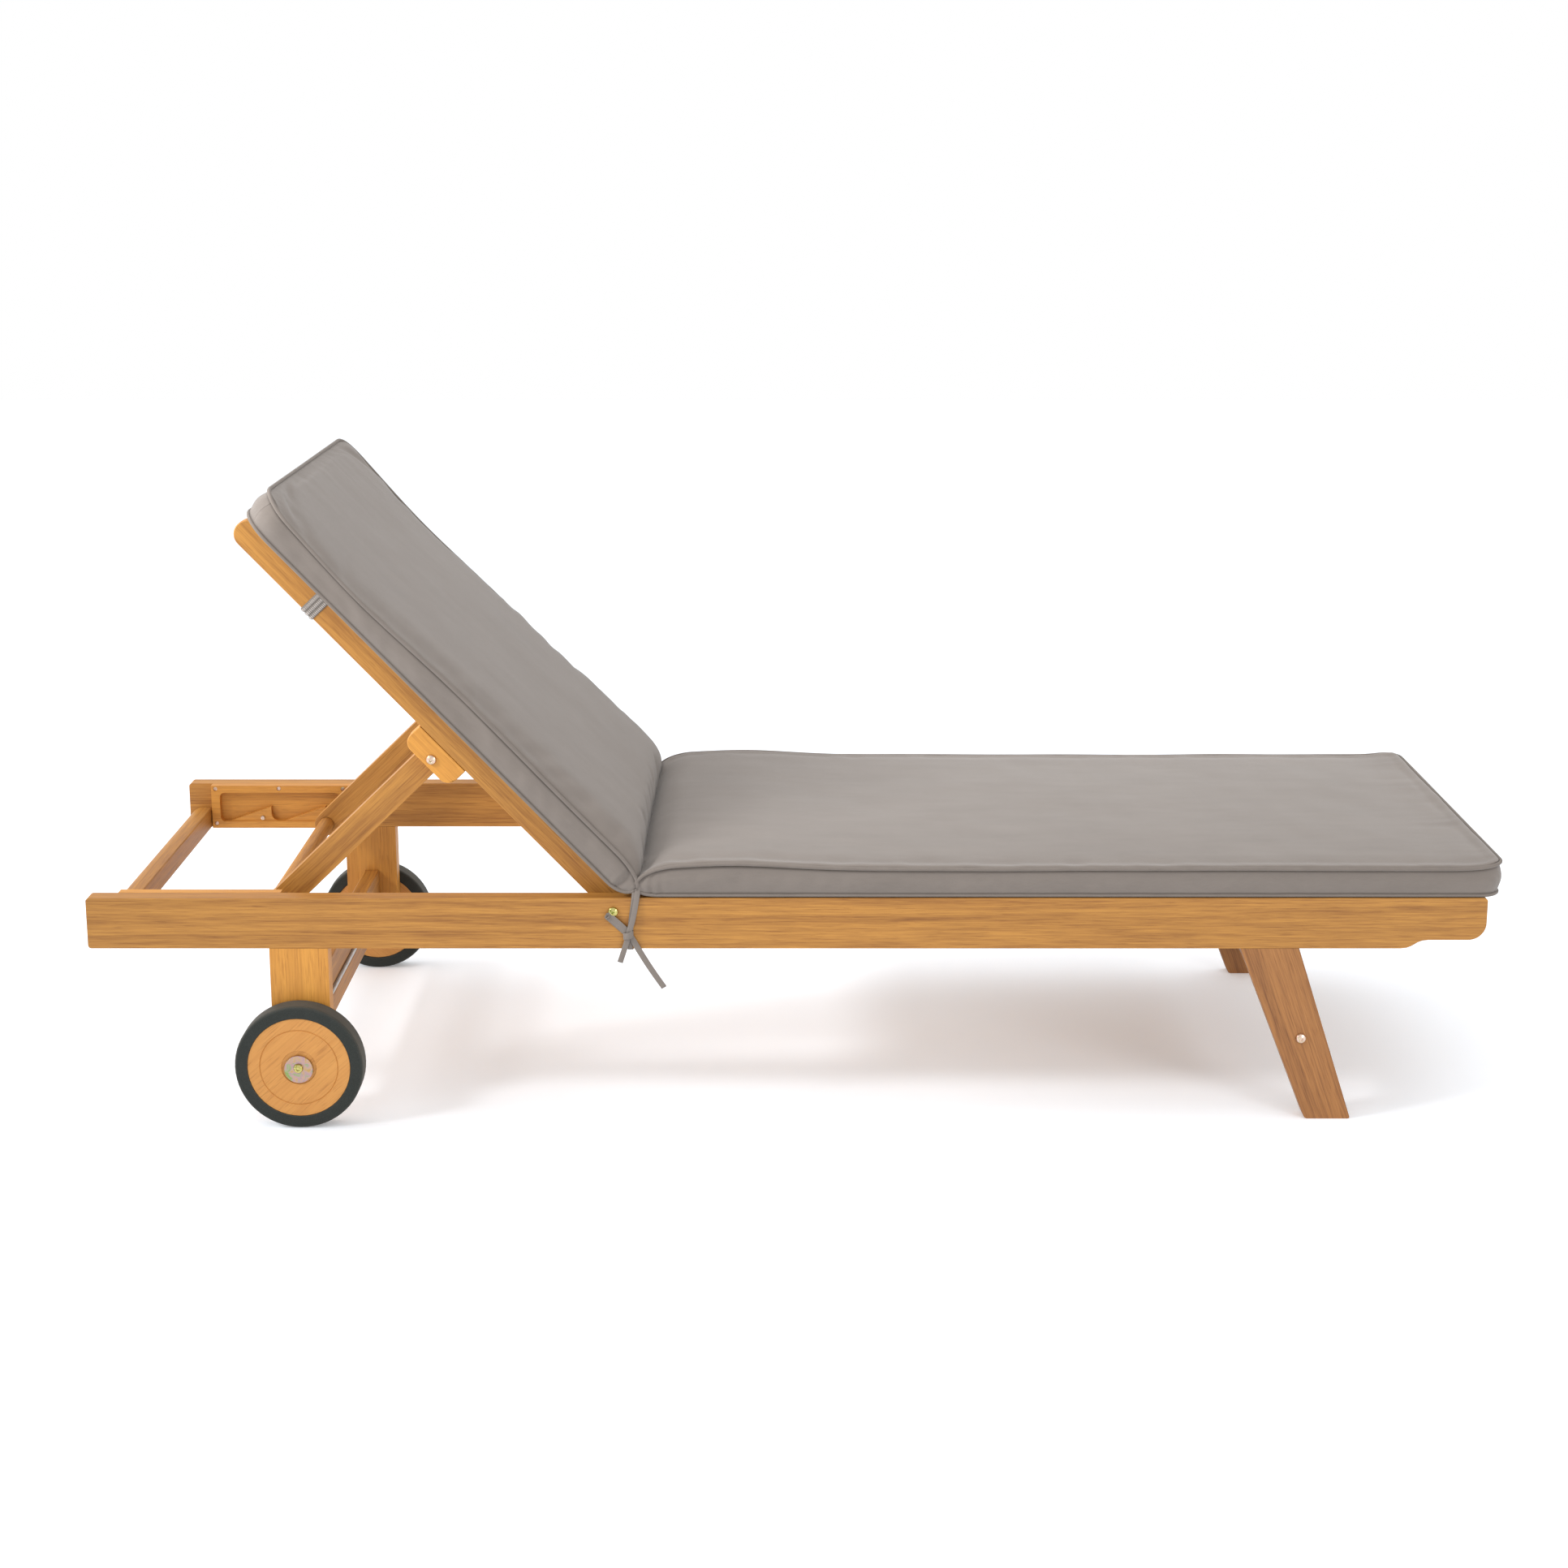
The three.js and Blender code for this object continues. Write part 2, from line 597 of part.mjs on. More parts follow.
function buildFrame() {
  const group = new THREE.Group();
  const betweenRails = [-INSIDE_RAILS, INSIDE_RAILS];
  addForEachSide(group, "side_rail", sideRail, wood);
  addForEachSide(group, "wheel_post", wheelPost, wood);
  addForEachSide(group, "foot_leg", footLeg, darkWood);
  addForEachSide(group, "track_plate", trackPlate, wood);
  addMesh(group, "head_rail", headRail(), wood());
  const hingeRail = board(HINGE_RAIL_X, betweenRails, [CROSS_RAIL_BOTTOM, CROSS_RAIL_TOP]);
  addMesh(group, "hinge_rail", hingeRail, wood());
  addMesh(group, "foot_rail", board(FOOT_RAIL_X, betweenRails, [FOOT_RAIL_BOTTOM, CROSS_RAIL_TOP]), wood());
  addMesh(group, "axle_board", board(AXLE_BOARD_X, betweenRails, AXLE_BOARD_Z), wood());
  addMesh(group, "axle_beam", board(AXLE_BEAM_X, betweenRails, AXLE_BEAM_Z), wood());
  addMesh(group, "leg_stretcher", legStretcher(), darkWood());
  for (let i = 0; i < SEAT_SLAT_COUNT; i++) {
    const start = SEAT_SLAT_START + i * SEAT_SLAT_PITCH;
    const half = RAIL_INNER_FACE + GROOVE_DEPTH - GAP;
    const thickness = [SEAT_SLAT_TOP - SLAT_THICKNESS, SEAT_SLAT_TOP];
    const slat = board([start, start + SEAT_SLAT_WIDTH], [-half, half], thickness);
    addMesh(group, numbered("seat_slat", i), slat, wood());
  }
  const headSeat = FRAME_HALF_WIDTH + GAP;
  const hingeBolt = (side) => domedBolt(side, HINGE_BOLT_TIP, headSeat, PIVOT_X, PIVOT_Z);
  const stretcherBolt = (side) => domedBolt(side, STRETCHER_BOLT_TIP, headSeat, STRETCHER_X, STRETCHER_Z);
  const spacerInner = STILE_OUTER_FACE + GAP;
  const hingeSpacer = (side) =>
    ring(side, spacerInner, INSIDE_RAILS, BOLT_RADIUS + GAP, SPACER_RADIUS, PIVOT_X, PIVOT_Z);
  addForEachSide(group, "hinge_bolt", hingeBolt, zinc);
  addForEachSide(group, "hinge_spacer", hingeSpacer, steel);
  addForEachSide(group, "stretcher_bolt", stretcherBolt, zinc);
  const seatCushion = cushion(
    [SEAT_CUSHION_START, RAIL_LENGTH + CUSHION_OVERHANG],
    [RAIL_TOP + GAP, SEAT_CUSHION_TOP],
  );
  addMesh(group, "seat_cushion", seatCushion, fabric());
  return group;
}

function buildAxle() {
  const group = new THREE.Group();
  const rodEnd = TYRE_OUTER_FACE - DISC_INSET;
  const washerSeat = rodEnd + GAP;
  const screwSeat = washerSeat + HUB_WASHER_THICKNESS + GAP;
  const screwTip = rodEnd - 20;
  const holeRadius = HUB_SCREW_SHANK_RADIUS + GAP;
  const screwHoles = Object.values(SIDES).map((side) =>
    rodAcross(holeRadius, across(side, screwTip - 2, rodEnd + 1), WHEEL_X, WHEEL_RADIUS, 12),
  );
  const rod = cut(rodAcross(AXLE_RADIUS, [-rodEnd, rodEnd], WHEEL_X, WHEEL_RADIUS, 24), ...screwHoles);
  const washer = (side) =>
    ring(
      side,
      washerSeat,
      washerSeat + HUB_WASHER_THICKNESS,
      HUB_SCREW_SHANK_RADIUS + HUB_WASHER_DROP + GAP,
      HUB_WASHER_RADIUS,
      WHEEL_X,
      WHEEL_RADIUS - HUB_WASHER_DROP,
      32,
    );
  const shank = HUB_SCREW_SHANK_RADIUS;
  const screw = (side) =>
    domedBolt(side, screwTip, screwSeat, WHEEL_X, WHEEL_RADIUS, shank, HUB_SCREW_HEAD_RADIUS);
  const tieRod = rodAcross(TIE_ROD_RADIUS, [-INSIDE_RAILS, INSIDE_RAILS], TIE_ROD_X, TIE_ROD_Z);
  addMesh(group, "axle_rod", rod, steel());
  addMesh(group, "tie_rod", tieRod, steel());
  addForEachSide(group, "hub_washer", washer, zinc);
  addForEachSide(group, "hub_screw", screw, zinc);
  return group;
}

function buildWheels() {
  const group = new THREE.Group();
  addForEachSide(group, "wheel_disc", wheelDisc, wood);
  addForEachSide(group, "tyre", tyre, rubber);
  return group;
}

function buildProp() {
  const group = new THREE.Group();
  group.position.set(-PROP_PIVOT_ALONG, 0, -PROP_PIVOT_BELOW);
  group.rotation.y = -PROP_SLOPE - BACK_ANGLE;
  addForEachSide(group, "prop_arm", propArm, wood);
  addMesh(group, "prop_dowel", propDowel(), wood());
  return group;
}

function buildBack() {
  const group = new THREE.Group();
  const [cushionLow, cushionHigh] = BACK_CUSHION_ALONG;
  group.position.set(PIVOT_X, 0, PIVOT_Z);
  group.rotation.y = BACK_ANGLE;
  addForEachSide(group, "stile", stile, wood);
  addForEachSide(group, "prop_block", propBlock, wood);
  addForEachSide(
    group,
    "prop_bolt",
    (side) => domedBolt(side, PROP_BOLT_TIP, STILE_OUTER_FACE + GAP, -PROP_PIVOT_ALONG, -PROP_PIVOT_BELOW),
    zinc,
  );
  for (let i = 0; i < BACK_SLAT_COUNT; i++) {
    addMesh(group, numbered("back_slat", i), backSlat(i), wood());
  }
  addMesh(group, "back_cushion", cushion([-cushionHigh, -cushionLow], BACK_CUSHION_OFF_STILE), fabric());
  group.add(buildProp());
  return group;
}

const lounger = new THREE.Group();
const fromHeadEnd = new THREE.Group();
fromHeadEnd.position.x = -(RAIL_LENGTH + CUSHION_OVERHANG) / 2;
fromHeadEnd.add(buildFrame(), buildAxle(), buildWheels(), buildBack());
lounger.add(fromHeadEnd);

export default lounger;
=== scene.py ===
"""Looks of the reclining sun lounger: oiled wood, plated hardware, wheels and piped cushions."""

import json
import math

import bmesh
import bpy
import numpy as np
from mathutils import Matrix, Vector, noise
from mathutils.kdtree import KDTree


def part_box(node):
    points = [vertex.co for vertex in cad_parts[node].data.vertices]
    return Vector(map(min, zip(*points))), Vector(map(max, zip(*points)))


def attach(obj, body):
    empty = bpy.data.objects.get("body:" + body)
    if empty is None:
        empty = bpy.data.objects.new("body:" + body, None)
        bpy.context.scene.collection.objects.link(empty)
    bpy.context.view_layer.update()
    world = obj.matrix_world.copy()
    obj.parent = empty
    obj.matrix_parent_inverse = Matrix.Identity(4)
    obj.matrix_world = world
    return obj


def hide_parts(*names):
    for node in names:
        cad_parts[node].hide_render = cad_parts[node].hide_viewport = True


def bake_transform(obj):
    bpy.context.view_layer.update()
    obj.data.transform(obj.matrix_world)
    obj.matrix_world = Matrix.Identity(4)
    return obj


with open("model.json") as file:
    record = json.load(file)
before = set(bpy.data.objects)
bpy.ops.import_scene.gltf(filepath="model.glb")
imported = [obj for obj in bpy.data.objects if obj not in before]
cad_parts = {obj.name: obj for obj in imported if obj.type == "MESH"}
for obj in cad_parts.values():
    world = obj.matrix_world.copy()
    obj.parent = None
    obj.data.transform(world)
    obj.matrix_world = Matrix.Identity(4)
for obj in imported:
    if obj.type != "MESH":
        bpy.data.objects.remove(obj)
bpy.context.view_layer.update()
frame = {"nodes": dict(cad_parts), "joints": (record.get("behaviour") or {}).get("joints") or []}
nodes = frame["nodes"]

MM = 0.001
SIDES = {"right": -1, "left": 1}
ALONG_X, ALONG_Y, ALONG_Z = Vector((1, 0, 0)), Vector((0, 1, 0)), Vector((0, 0, 1))
RAIL_LOW, RAIL_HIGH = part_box("side_rail_right")
HEAD_END = RAIL_LOW.x
RAIL_TOP = RAIL_HIGH.z
RAIL_UNDERSIDE = RAIL_LOW.z
RAIL_OUTER_FACE = -RAIL_LOW.y
RAIL_INNER_FACE = -RAIL_HIGH.y
RECLINE_JOINT = next(j for j in frame["joints"] if j["name"] == "back_recline")
PIVOT = Vector(RECLINE_JOINT["pos_m"])
RECLINE = math.radians(-RECLINE_JOINT["range_deg"][0])
UP_THE_BACK = Vector((-math.cos(RECLINE), 0, math.sin(RECLINE)))
OUT_OF_THE_BACK = Vector((math.sin(RECLINE), 0, math.cos(RECLINE)))


# Small helpers


def linear(red, green, blue):
    """Linear colour from 0-255 display values."""
    channels = [c / 255 for c in (red, green, blue)]
    return tuple(c / 12.92 if c <= 0.04045 else ((c + 0.055) / 1.055) ** 2.4 for c in channels) + (1,)


def smooth(x):
    """Smooth step from 0 at x = 0 to 1 at x = 1."""
    x = min(max(x, 0), 1)
    return x * x * (3 - 2 * x)


def quarter(x):
    """Quarter ellipse: rises steeply from 0 at x = 0 and levels off at 1 from x = 1 on."""
    x = min(max(x, 0), 1)
    return math.sqrt(1 - (1 - x) ** 2)


def bump(x, centre, width):
    """Bell curve of height 1."""
    return math.exp(-(((x - centre) / width) ** 2))


def middle_of(node):
    """The middle of a CAD node's box."""
    low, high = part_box(node)
    return (low + high) / 2


def new_mesh(name, points, faces, flats=None):
    """A smooth-shaded mesh object; flats are the points' flat coordinates, which the weaves follow."""
    mesh = bpy.data.meshes.new(name)
    mesh.from_pydata([tuple(p) for p in points], [], faces)
    mesh.update()
    if flats:
        layer = mesh.uv_layers.new(name="flat")
        for loop in mesh.loops:
            layer.data[loop.index].uv = flats[loop.vertex_index]
    piece = bpy.data.objects.new(name, mesh)
    bpy.context.scene.collection.objects.link(piece)
    mesh.shade_smooth()
    return piece


def finish_piece(piece, material, body):
    """Gives a piece its material, and lets it ride on a body, if one is named."""
    piece.data.materials.clear()
    piece.data.materials.append(material)
    if body:
        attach(piece, body)
    return piece


# Materials

# The colour sockets of a Mix node: its two inputs and its output
MIX_LOW, MIX_HIGH, MIX_RESULT = 6, 7, 2
# Metres from band to band of a wave texture whose scale is 1
WAVE_PITCH = 0.314


class Shader:
    """A material's node tree, with one-line calls for the nodes that the materials here share."""

    def __init__(self, name):
        self.material = bpy.data.materials.new(name)
        self.material.use_nodes = True
        self.tree = self.material.node_tree
        self.surface = self.tree.nodes["Principled BSDF"]

    def node(self, kind, **settings):
        made = self.tree.nodes.new(kind)
        for key, value in settings.items():
            setattr(made, key, value)
        return made

    def link(self, source, target):
        self.tree.links.new(source, target)

    def feed(self, socket, value):
        """Sets an input to a number or colour, or links another node's output to it."""
        if isinstance(value, bpy.types.NodeSocket):
            self.link(value, socket)
        else:
            socket.default_value = value

    def coordinates(self, turn=(0, 0, 0), scale=(1, 1, 1), shift=(0, 0, 0), source="Object"):
        """Coordinates turned first, then scaled and shifted."""
        start = self.node("ShaderNodeTexCoord").outputs[source]
        turned = self.node("ShaderNodeMapping")
        turned.inputs["Rotation"].default_value = turn
        scaled = self.node("ShaderNodeMapping")
        scaled.inputs["Scale"].default_value = scale
        scaled.inputs["Location"].default_value = shift
        self.link(start, turned.inputs["Vector"])
        self.link(turned.outputs["Vector"], scaled.inputs["Vector"])
        return scaled.outputs["Vector"]

    def noise(self, vector, scale=1.0, detail=3.0, roughness=0.5, distortion=0.0):
        """Soft random patches, from 0 to 1."""
        made = self.node("ShaderNodeTexNoise")
        made.inputs["Scale"].default_value = scale
        made.inputs["Detail"].default_value = detail
        made.inputs["Roughness"].default_value = roughness
        made.inputs["Distortion"].default_value = distortion
        self.link(vector, made.inputs["Vector"])
        return made.outputs["Fac"]

    def wave(self, vector, direction, scale, distortion=0.0, detail=2.0, profile="SIN"):
        """Parallel bands that follow one another along a direction."""
        made = self.node(
            "ShaderNodeTexWave", wave_type="BANDS", bands_direction=direction, wave_profile=profile
        )
        made.inputs["Scale"].default_value = scale
        made.inputs["Distortion"].default_value = distortion
        made.inputs["Detail"].default_value = detail
        self.link(vector, made.inputs["Vector"])
        return made.outputs["Fac"]

    def ramp(self, value, stops):
        """A colour ramp with (position, colour) stops."""
        made = self.node("ShaderNodeValToRGB")
        elements = made.color_ramp.elements
        for element, (position, colour) in zip(elements, stops):
            element.position = position
            element.color = colour
        for position, colour in stops[len(elements) :]:
            elements.new(position).color = colour
        self.link(value, made.inputs["Fac"])
        return made.outputs["Color"]

    def mix(self, kind, share, low, high):
        """Mixes two colours; share is a number or a socket."""
        made = self.node("ShaderNodeMix", data_type="RGBA", blend_type=kind)
        self.feed(made.inputs["Factor"], share)
        self.feed(made.inputs[MIX_LOW], low)
        self.feed(made.inputs[MIX_HIGH], high)
        return made.outputs[MIX_RESULT]

    def math(self, operation, first, second=0.0):
        """One sum; each operand is a number or a socket."""
        made = self.node("ShaderNodeMath", operation=operation)
        self.feed(made.inputs[0], first)
        self.feed(made.inputs[1], second)
        return made.outputs["Value"]

    def span(self, value, low, high):
        """Maps a 0-1 value to low-high."""
        made = self.node("ShaderNodeMapRange")
        made.inputs["To Min"].default_value = low
        made.inputs["To Max"].default_value = high
        self.link(value, made.inputs["Value"])
        return made.outputs["Result"]

    def relief(self, height, strength, distance):
        """Fine relief on the surface, from a height of 0 to 1."""
        made = self.node("ShaderNodeBump")
        made.inputs["Strength"].default_value = strength
        made.inputs["Distance"].default_value = distance
        self.link(height, made.inputs["Height"])
        self.link(made.outputs["Normal"], self.surface.inputs["Normal"])

    def set(self, **values):
        """Sets the surface's inputs; underscores stand for spaces."""
        for key, value in values.items():
            self.feed(self.surface.inputs[key.replace("_", " ")], value)


def wood(name, along, light, dark, seed, laminated=False):
    """Oiled hardwood with its grain along a direction: tone bands, fine fibres and short dark pores."""
    shader = Shader(name)
    lengthways = Vector((along.x, 0, along.z)).length > 0.5
    turn = (0, math.atan2(along.z, along.x), 0) if lengthways else (0, 0, math.radians(-90))
    # Each board is cut from a place of its own, and its patches are drawn out along the grain
    shift = (seed * 1.73, seed * 0.61, seed * 1.19)
    bands = shader.noise(shader.coordinates(turn, (1.6, 70, 70), shift), detail=3, distortion=0.3)
    fibres = shader.noise(shader.coordinates(turn, (14, 420, 420), shift), detail=4, roughness=0.6)
    pores = shader.noise(shader.coordinates(turn, (30, 560, 560), shift), detail=3)
    clouds = shader.noise(shader.coordinates(turn, (3.5, 9, 9), shift), detail=2)
    tone = shader.math("MULTIPLY", bands, 0.45)
    tone = shader.math("ADD", tone, shader.math("MULTIPLY", fibres, 0.55))
    middle = tuple(np.add(light, dark) / 2)
    grain = shader.ramp(tone, [(0.36, dark), (0.48, middle), (0.62, light)])
    grain = shader.mix("MULTIPLY", shader.span(clouds, 0, 0.5), grain, (0.93, 0.82, 0.72, 1))
    dashes = shader.ramp(pores, [(0.32, (1, 1, 1, 1)), (0.43, (0, 0, 0, 1))])
    flecks = shader.math("MULTIPLY", dashes, 0.40)
    colour = shader.mix("MULTIPLY", flecks, grain, (0.52, 0.40, 0.30, 1))
    if laminated:
        strips = shader.wave(shader.coordinates(turn, shift=(0, 0, 0.031)), "Z", 4.1, profile="SAW")
        seam = shader.ramp(strips, [(0.0, (1, 1, 1, 1)), (0.035, (0, 0, 0, 1))])
        seam = shader.math("MULTIPLY", seam, 0.22)
        colour = shader.mix("MULTIPLY", seam, colour, (0.6, 0.48, 0.36, 1))
    shader.set(Base_Color=colour, Roughness=shader.span(fibres, 0.42, 0.62), Specular_IOR_Level=0.4)
    pits = shader.math("MULTIPLY", dashes, 0.5)
    shader.relief(shader.math("SUBTRACT", fibres, pits), 0.35, 0.0004)
    return shader.material


def fabric(name, colour, thread, fuzz=0.25, seam_shaded=False):
    """Matt, mottled plain-weave cloth in the piece's flat coordinates, with painted shade along the
    piped seams.
    """
    shader = Shader(name)
    flat = shader.coordinates(source="UV")
    warp, weft = (shader.wave(flat, way, WAVE_PITCH / thread, 0.6, 1.0) for way in ("X", "Y"))
    weave = shader.math("MULTIPLY", warp, weft)
    mottle = shader.noise(shader.coordinates(scale=(7, 26, 1), source="UV"), detail=6, roughness=0.7)
    slub = shader.noise(shader.coordinates(scale=(60, 900, 1), source="UV"), detail=2)
    darker = tuple(c * 0.93 for c in colour[:3]) + (1,)
    lighter = tuple(c * 1.06 for c in colour[:3]) + (1,)
    base = shader.ramp(mottle, [(0.3, darker), (0.72, lighter)])
    base = shader.mix("MULTIPLY", shader.span(slub, 0, 0.22), base, (0.7, 0.7, 0.7, 1))
    base = shader.mix("MULTIPLY", shader.span(weave, 0.3, 0), base, (0.62, 0.61, 0.6, 1))
    if seam_shaded:
        # Painted shade: the cloth is darkened along the rims and the rows beside them, where the piping
        # casts a crevice shadow
        seam_shade = shader.node("ShaderNodeAttribute", attribute_name="seam_shaded")
        base = shader.mix("MULTIPLY", seam_shade.outputs["Fac"], base, (0.42, 0.40, 0.38, 1))
    shader.set(Base_Color=base, Roughness=0.88, Specular_IOR_Level=0.22)
    shader.set(Sheen_Weight=fuzz, Sheen_Roughness=0.5)
    shader.relief(shader.math("ADD", weave, slub), 0.3, thread * 0.5)
    return shader.material


def elastic_fabric():
    """Light grey ruched cover with painted shade in the folds between its gathered rows and along its
    pleats.
    """
    shader = Shader("ruched_elastic")
    centred = shader.coordinates(shift=(ELASTIC_ROW / 2, 0, 0), source="UV")
    rows = shader.wave(centred, "X", WAVE_PITCH / ELASTIC_ROW)
    flat = shader.coordinates(source="UV")
    pleats = shader.wave(flat, "Y", WAVE_PITCH / ELASTIC_PLEAT, distortion=1.2)
    # Painted shade: the folds between the gathered rows and across the pleats are coloured darker
    height = shader.math("MULTIPLY", rows, shader.span(pleats, 0.15, 1))
    colour = shader.ramp(height, [(0.04, linear(112, 105, 99)), (0.45, linear(176, 168, 162))])
    shader.set(Base_Color=colour, Roughness=0.85, Specular_IOR_Level=0.2)
    shader.set(Sheen_Weight=0.2)
    return shader.material


def rubber():
    """Matt charcoal rubber with a dusty, scuffed tread."""
    shader = Shader("tyre_rubber")
    specks = shader.noise(shader.coordinates(), scale=900, detail=3)
    scuffs = shader.noise(shader.coordinates(scale=(22, 60, 22)), detail=5, roughness=0.7)
    geometry = shader.node("ShaderNodeNewGeometry")
    facing = shader.node("ShaderNodeVectorMath", operation="DOT_PRODUCT")
    facing.inputs[1].default_value = ALONG_Y
    shader.link(geometry.outputs["True Normal"], facing.inputs[0])
    sideways = shader.math("ABSOLUTE", facing.outputs["Value"])
    outward = shader.math("SUBTRACT", 1.0, sideways)
    dust = shader.math("MULTIPLY", outward, shader.span(scuffs, 0.1, 0.75))
    body = shader.ramp(specks, [(0.35, linear(31, 34, 31)), (0.7, linear(45, 49, 45))])
    colour = shader.mix("MIX", dust, body, linear(104, 100, 92))
    shader.set(Base_Color=colour, Roughness=shader.span(scuffs, 0.62, 0.86), Specular_IOR_Level=0.35)
    shader.relief(specks, 0.25, 0.0003)
    return shader.material


def zinc(name, stops, roughness, speckle):
    """Passivated zinc plate, with a bloom of the given tints."""
    shader = Shader(name)
    bloom = shader.noise(shader.coordinates(), scale=speckle, detail=3, roughness=0.6, distortion=0.8)
    scratches = shader.noise(shader.coordinates(scale=(1500, 1500, 240)), detail=2)
    shader.set(Base_Color=shader.ramp(bloom, stops), Metallic=1.0)
    shader.set(Roughness=shader.span(scratches, roughness, roughness + 0.16))
    shader.relief(scratches, 0.12, 0.0001)
    return shader.material


def steel():
    """Plain zinc-plated steel with faint turning marks."""
    shader = Shader("plated_steel")
    marks = shader.noise(shader.coordinates(scale=(300, 60, 300)), detail=3)
    colour = shader.ramp(marks, [(0.3, linear(168, 168, 166)), (0.7, linear(206, 206, 204))])
    shader.set(Base_Color=colour, Metallic=1.0, Roughness=shader.span(marks, 0.32, 0.48))
    shader.relief(marks, 0.1, 0.0001)
    return shader.material


def floor_finish():
    """Matt white studio floor, lightened a little by its own glow."""
    shader = Shader("pale_floor")
    grain = shader.noise(shader.coordinates(), scale=40, detail=4)
    tints = [(0.3, (0.84, 0.88, 0.93, 1)), (0.7, (0.86, 0.90, 0.95, 1))]
    shader.set(Base_Color=shader.ramp(grain, tints))
    shader.set(Roughness=0.75, Specular_IOR_Level=0.1)
    shader.set(Emission_Color=(1, 1, 1, 1), Emission_Strength=0.18)
    return shader.material


# The elastic loops: their width, and the pitch of their rows and of their pleats
ELASTIC_WIDTH, ELASTIC_ROW, ELASTIC_PLEAT = 0.0225, 0.0075, 0.0026

# Light and dark tones of each wood, the cloths, and the tints in each zinc bloom
RAIL_LIGHT, RAIL_DARK = linear(185, 132, 60), linear(143, 94, 39)
POST_LIGHT, POST_DARK = linear(202, 143, 61), linear(176, 119, 48)
LEG_LIGHT, LEG_DARK = linear(164, 113, 62), linear(124, 80, 42)
WHEEL_LIGHT, WHEEL_DARK = linear(201, 144, 75), linear(190, 132, 66)
TAUPE = linear(126, 117, 110)
PIPING_TAUPE = linear(124, 115, 108)
TIE_TAUPE = linear(130, 121, 114)
YELLOW_ZINC = [(0.32, linear(170, 160, 70)), (0.5, linear(206, 196, 130)), (0.66, linear(122, 128, 50))]
RAINBOW_ZINC = [
    (0.30, linear(184, 150, 86)),
    (0.42, linear(186, 158, 136)),
    (0.50, linear(180, 142, 152)),
    (0.58, linear(158, 162, 130)),
    (0.68, linear(136, 158, 92)),
]
PINK_ZINC = [(0.34, linear(214, 202, 170)), (0.5, linear(222, 188, 180)), (0.64, linear(196, 188, 140))]


# Edges of the CAD parts: the sharp ones are eased by a modifier, which leaves the mesh as it is


def ease_edges(node, width):
    """Joins the facets of each flat face and rounds the sharp edges between them."""
    piece = nodes[node]
    weld = piece.modifiers.new("Join corners", "WELD")
    weld.merge_threshold = 0.00001
    flatten = piece.modifiers.new("Flat faces", "DECIMATE")
    flatten.decimate_type = "DISSOLVE"
    flatten.angle_limit = math.radians(0.8)
    bevel = piece.modifiers.new("Eased edges", "BEVEL")
    bevel.width = width
    bevel.segments = 3
    bevel.limit_method = "ANGLE"
    bevel.angle_limit = math.radians(32)
    bevel.miter_outer = "MITER_ARC"
    shading = piece.modifiers.new("Even shading", "WEIGHTED_NORMAL")
    shading.weight = 90


def dress(node, material, width):
    """Gives a CAD node its material and edges eased by a width."""
    piece = nodes[node]
    piece.data.materials.clear()
    piece.data.materials.append(material)
    ease_edges(node, width)


# The middle of a foot leg at the rail's underside and at the floor, x from the head end
LEG_TOP_MIDDLE, LEG_SOLE_MIDDLE = Vector((1.692, 0, 0.260)), Vector((1.786, 0, 0))
DOWN_THE_LEG = (LEG_SOLE_MIDDLE - LEG_TOP_MIDDLE).normalized()
ARM_END, ARM_TOP = middle_of("prop_dowel"), middle_of("prop_bolt_right")
ALONG_THE_ARM = Vector((ARM_TOP.x - ARM_END.x, 0, ARM_TOP.z - ARM_END.z)).normalized()
WHEEL_TURN = math.radians(42)
WHEEL_GRAIN = Vector((math.cos(WHEEL_TURN), 0, math.sin(WHEEL_TURN)))
# The nodes of each kind of board, its grain, its colours and the rounding of its edges
WOODWORK = [
    ("side_rail", ALONG_X, RAIL_LIGHT, RAIL_DARK, 0.0022),
    ("track_plate", ALONG_X, POST_LIGHT, POST_DARK, 0.0010),
    ("wheel_post", ALONG_Z, POST_LIGHT, POST_DARK, 0.0020),
    ("foot_leg", DOWN_THE_LEG, LEG_LIGHT, LEG_DARK, 0.0018),
    ("leg_stretcher", ALONG_Y, LEG_LIGHT, LEG_DARK, 0.0020),
    ("head_rail", ALONG_Y, RAIL_LIGHT, RAIL_DARK, 0.0022),
    ("hinge_rail", ALONG_Y, RAIL_LIGHT, RAIL_DARK, 0.0022),
    ("foot_rail", ALONG_Y, RAIL_LIGHT, RAIL_DARK, 0.0022),
    ("axle_board", ALONG_Y, RAIL_LIGHT, RAIL_DARK, 0.0020),
    ("axle_beam", ALONG_Y, RAIL_LIGHT, RAIL_DARK, 0.0020),
    ("seat_slat", ALONG_Y, RAIL_LIGHT, RAIL_DARK, 0.0020),
    ("back_slat", ALONG_Y, RAIL_LIGHT, RAIL_DARK, 0.0020),
    ("stile", UP_THE_BACK, RAIL_LIGHT, RAIL_DARK, 0.0022),
    ("prop_block", UP_THE_BACK, POST_LIGHT, POST_DARK, 0.0015),
    ("prop_arm", ALONG_THE_ARM, RAIL_LIGHT, RAIL_DARK, 0.0020),
    ("prop_dowel", ALONG_Y, RAIL_LIGHT, RAIL_DARK, 0.0010),
]
# How much the boards' tones differ, and the step of the sine that gives each board its own
TONE_SPREAD, TONE_STEP = 0.07, 2.4
seed = 0
for prefix, along, light, dark, width in WOODWORK:
    for node in sorted(n for n in nodes if n.startswith(prefix)):
        seed += 1
        tone = 1 + TONE_SPREAD * math.sin(seed * TONE_STEP)
        lighter = tuple(c * tone for c in light[:3]) + (1,)
        darker = tuple(c * tone for c in dark[:3]) + (1,)
        dress(node, wood(f"{node}_wood", along, lighter, darker, seed), width)

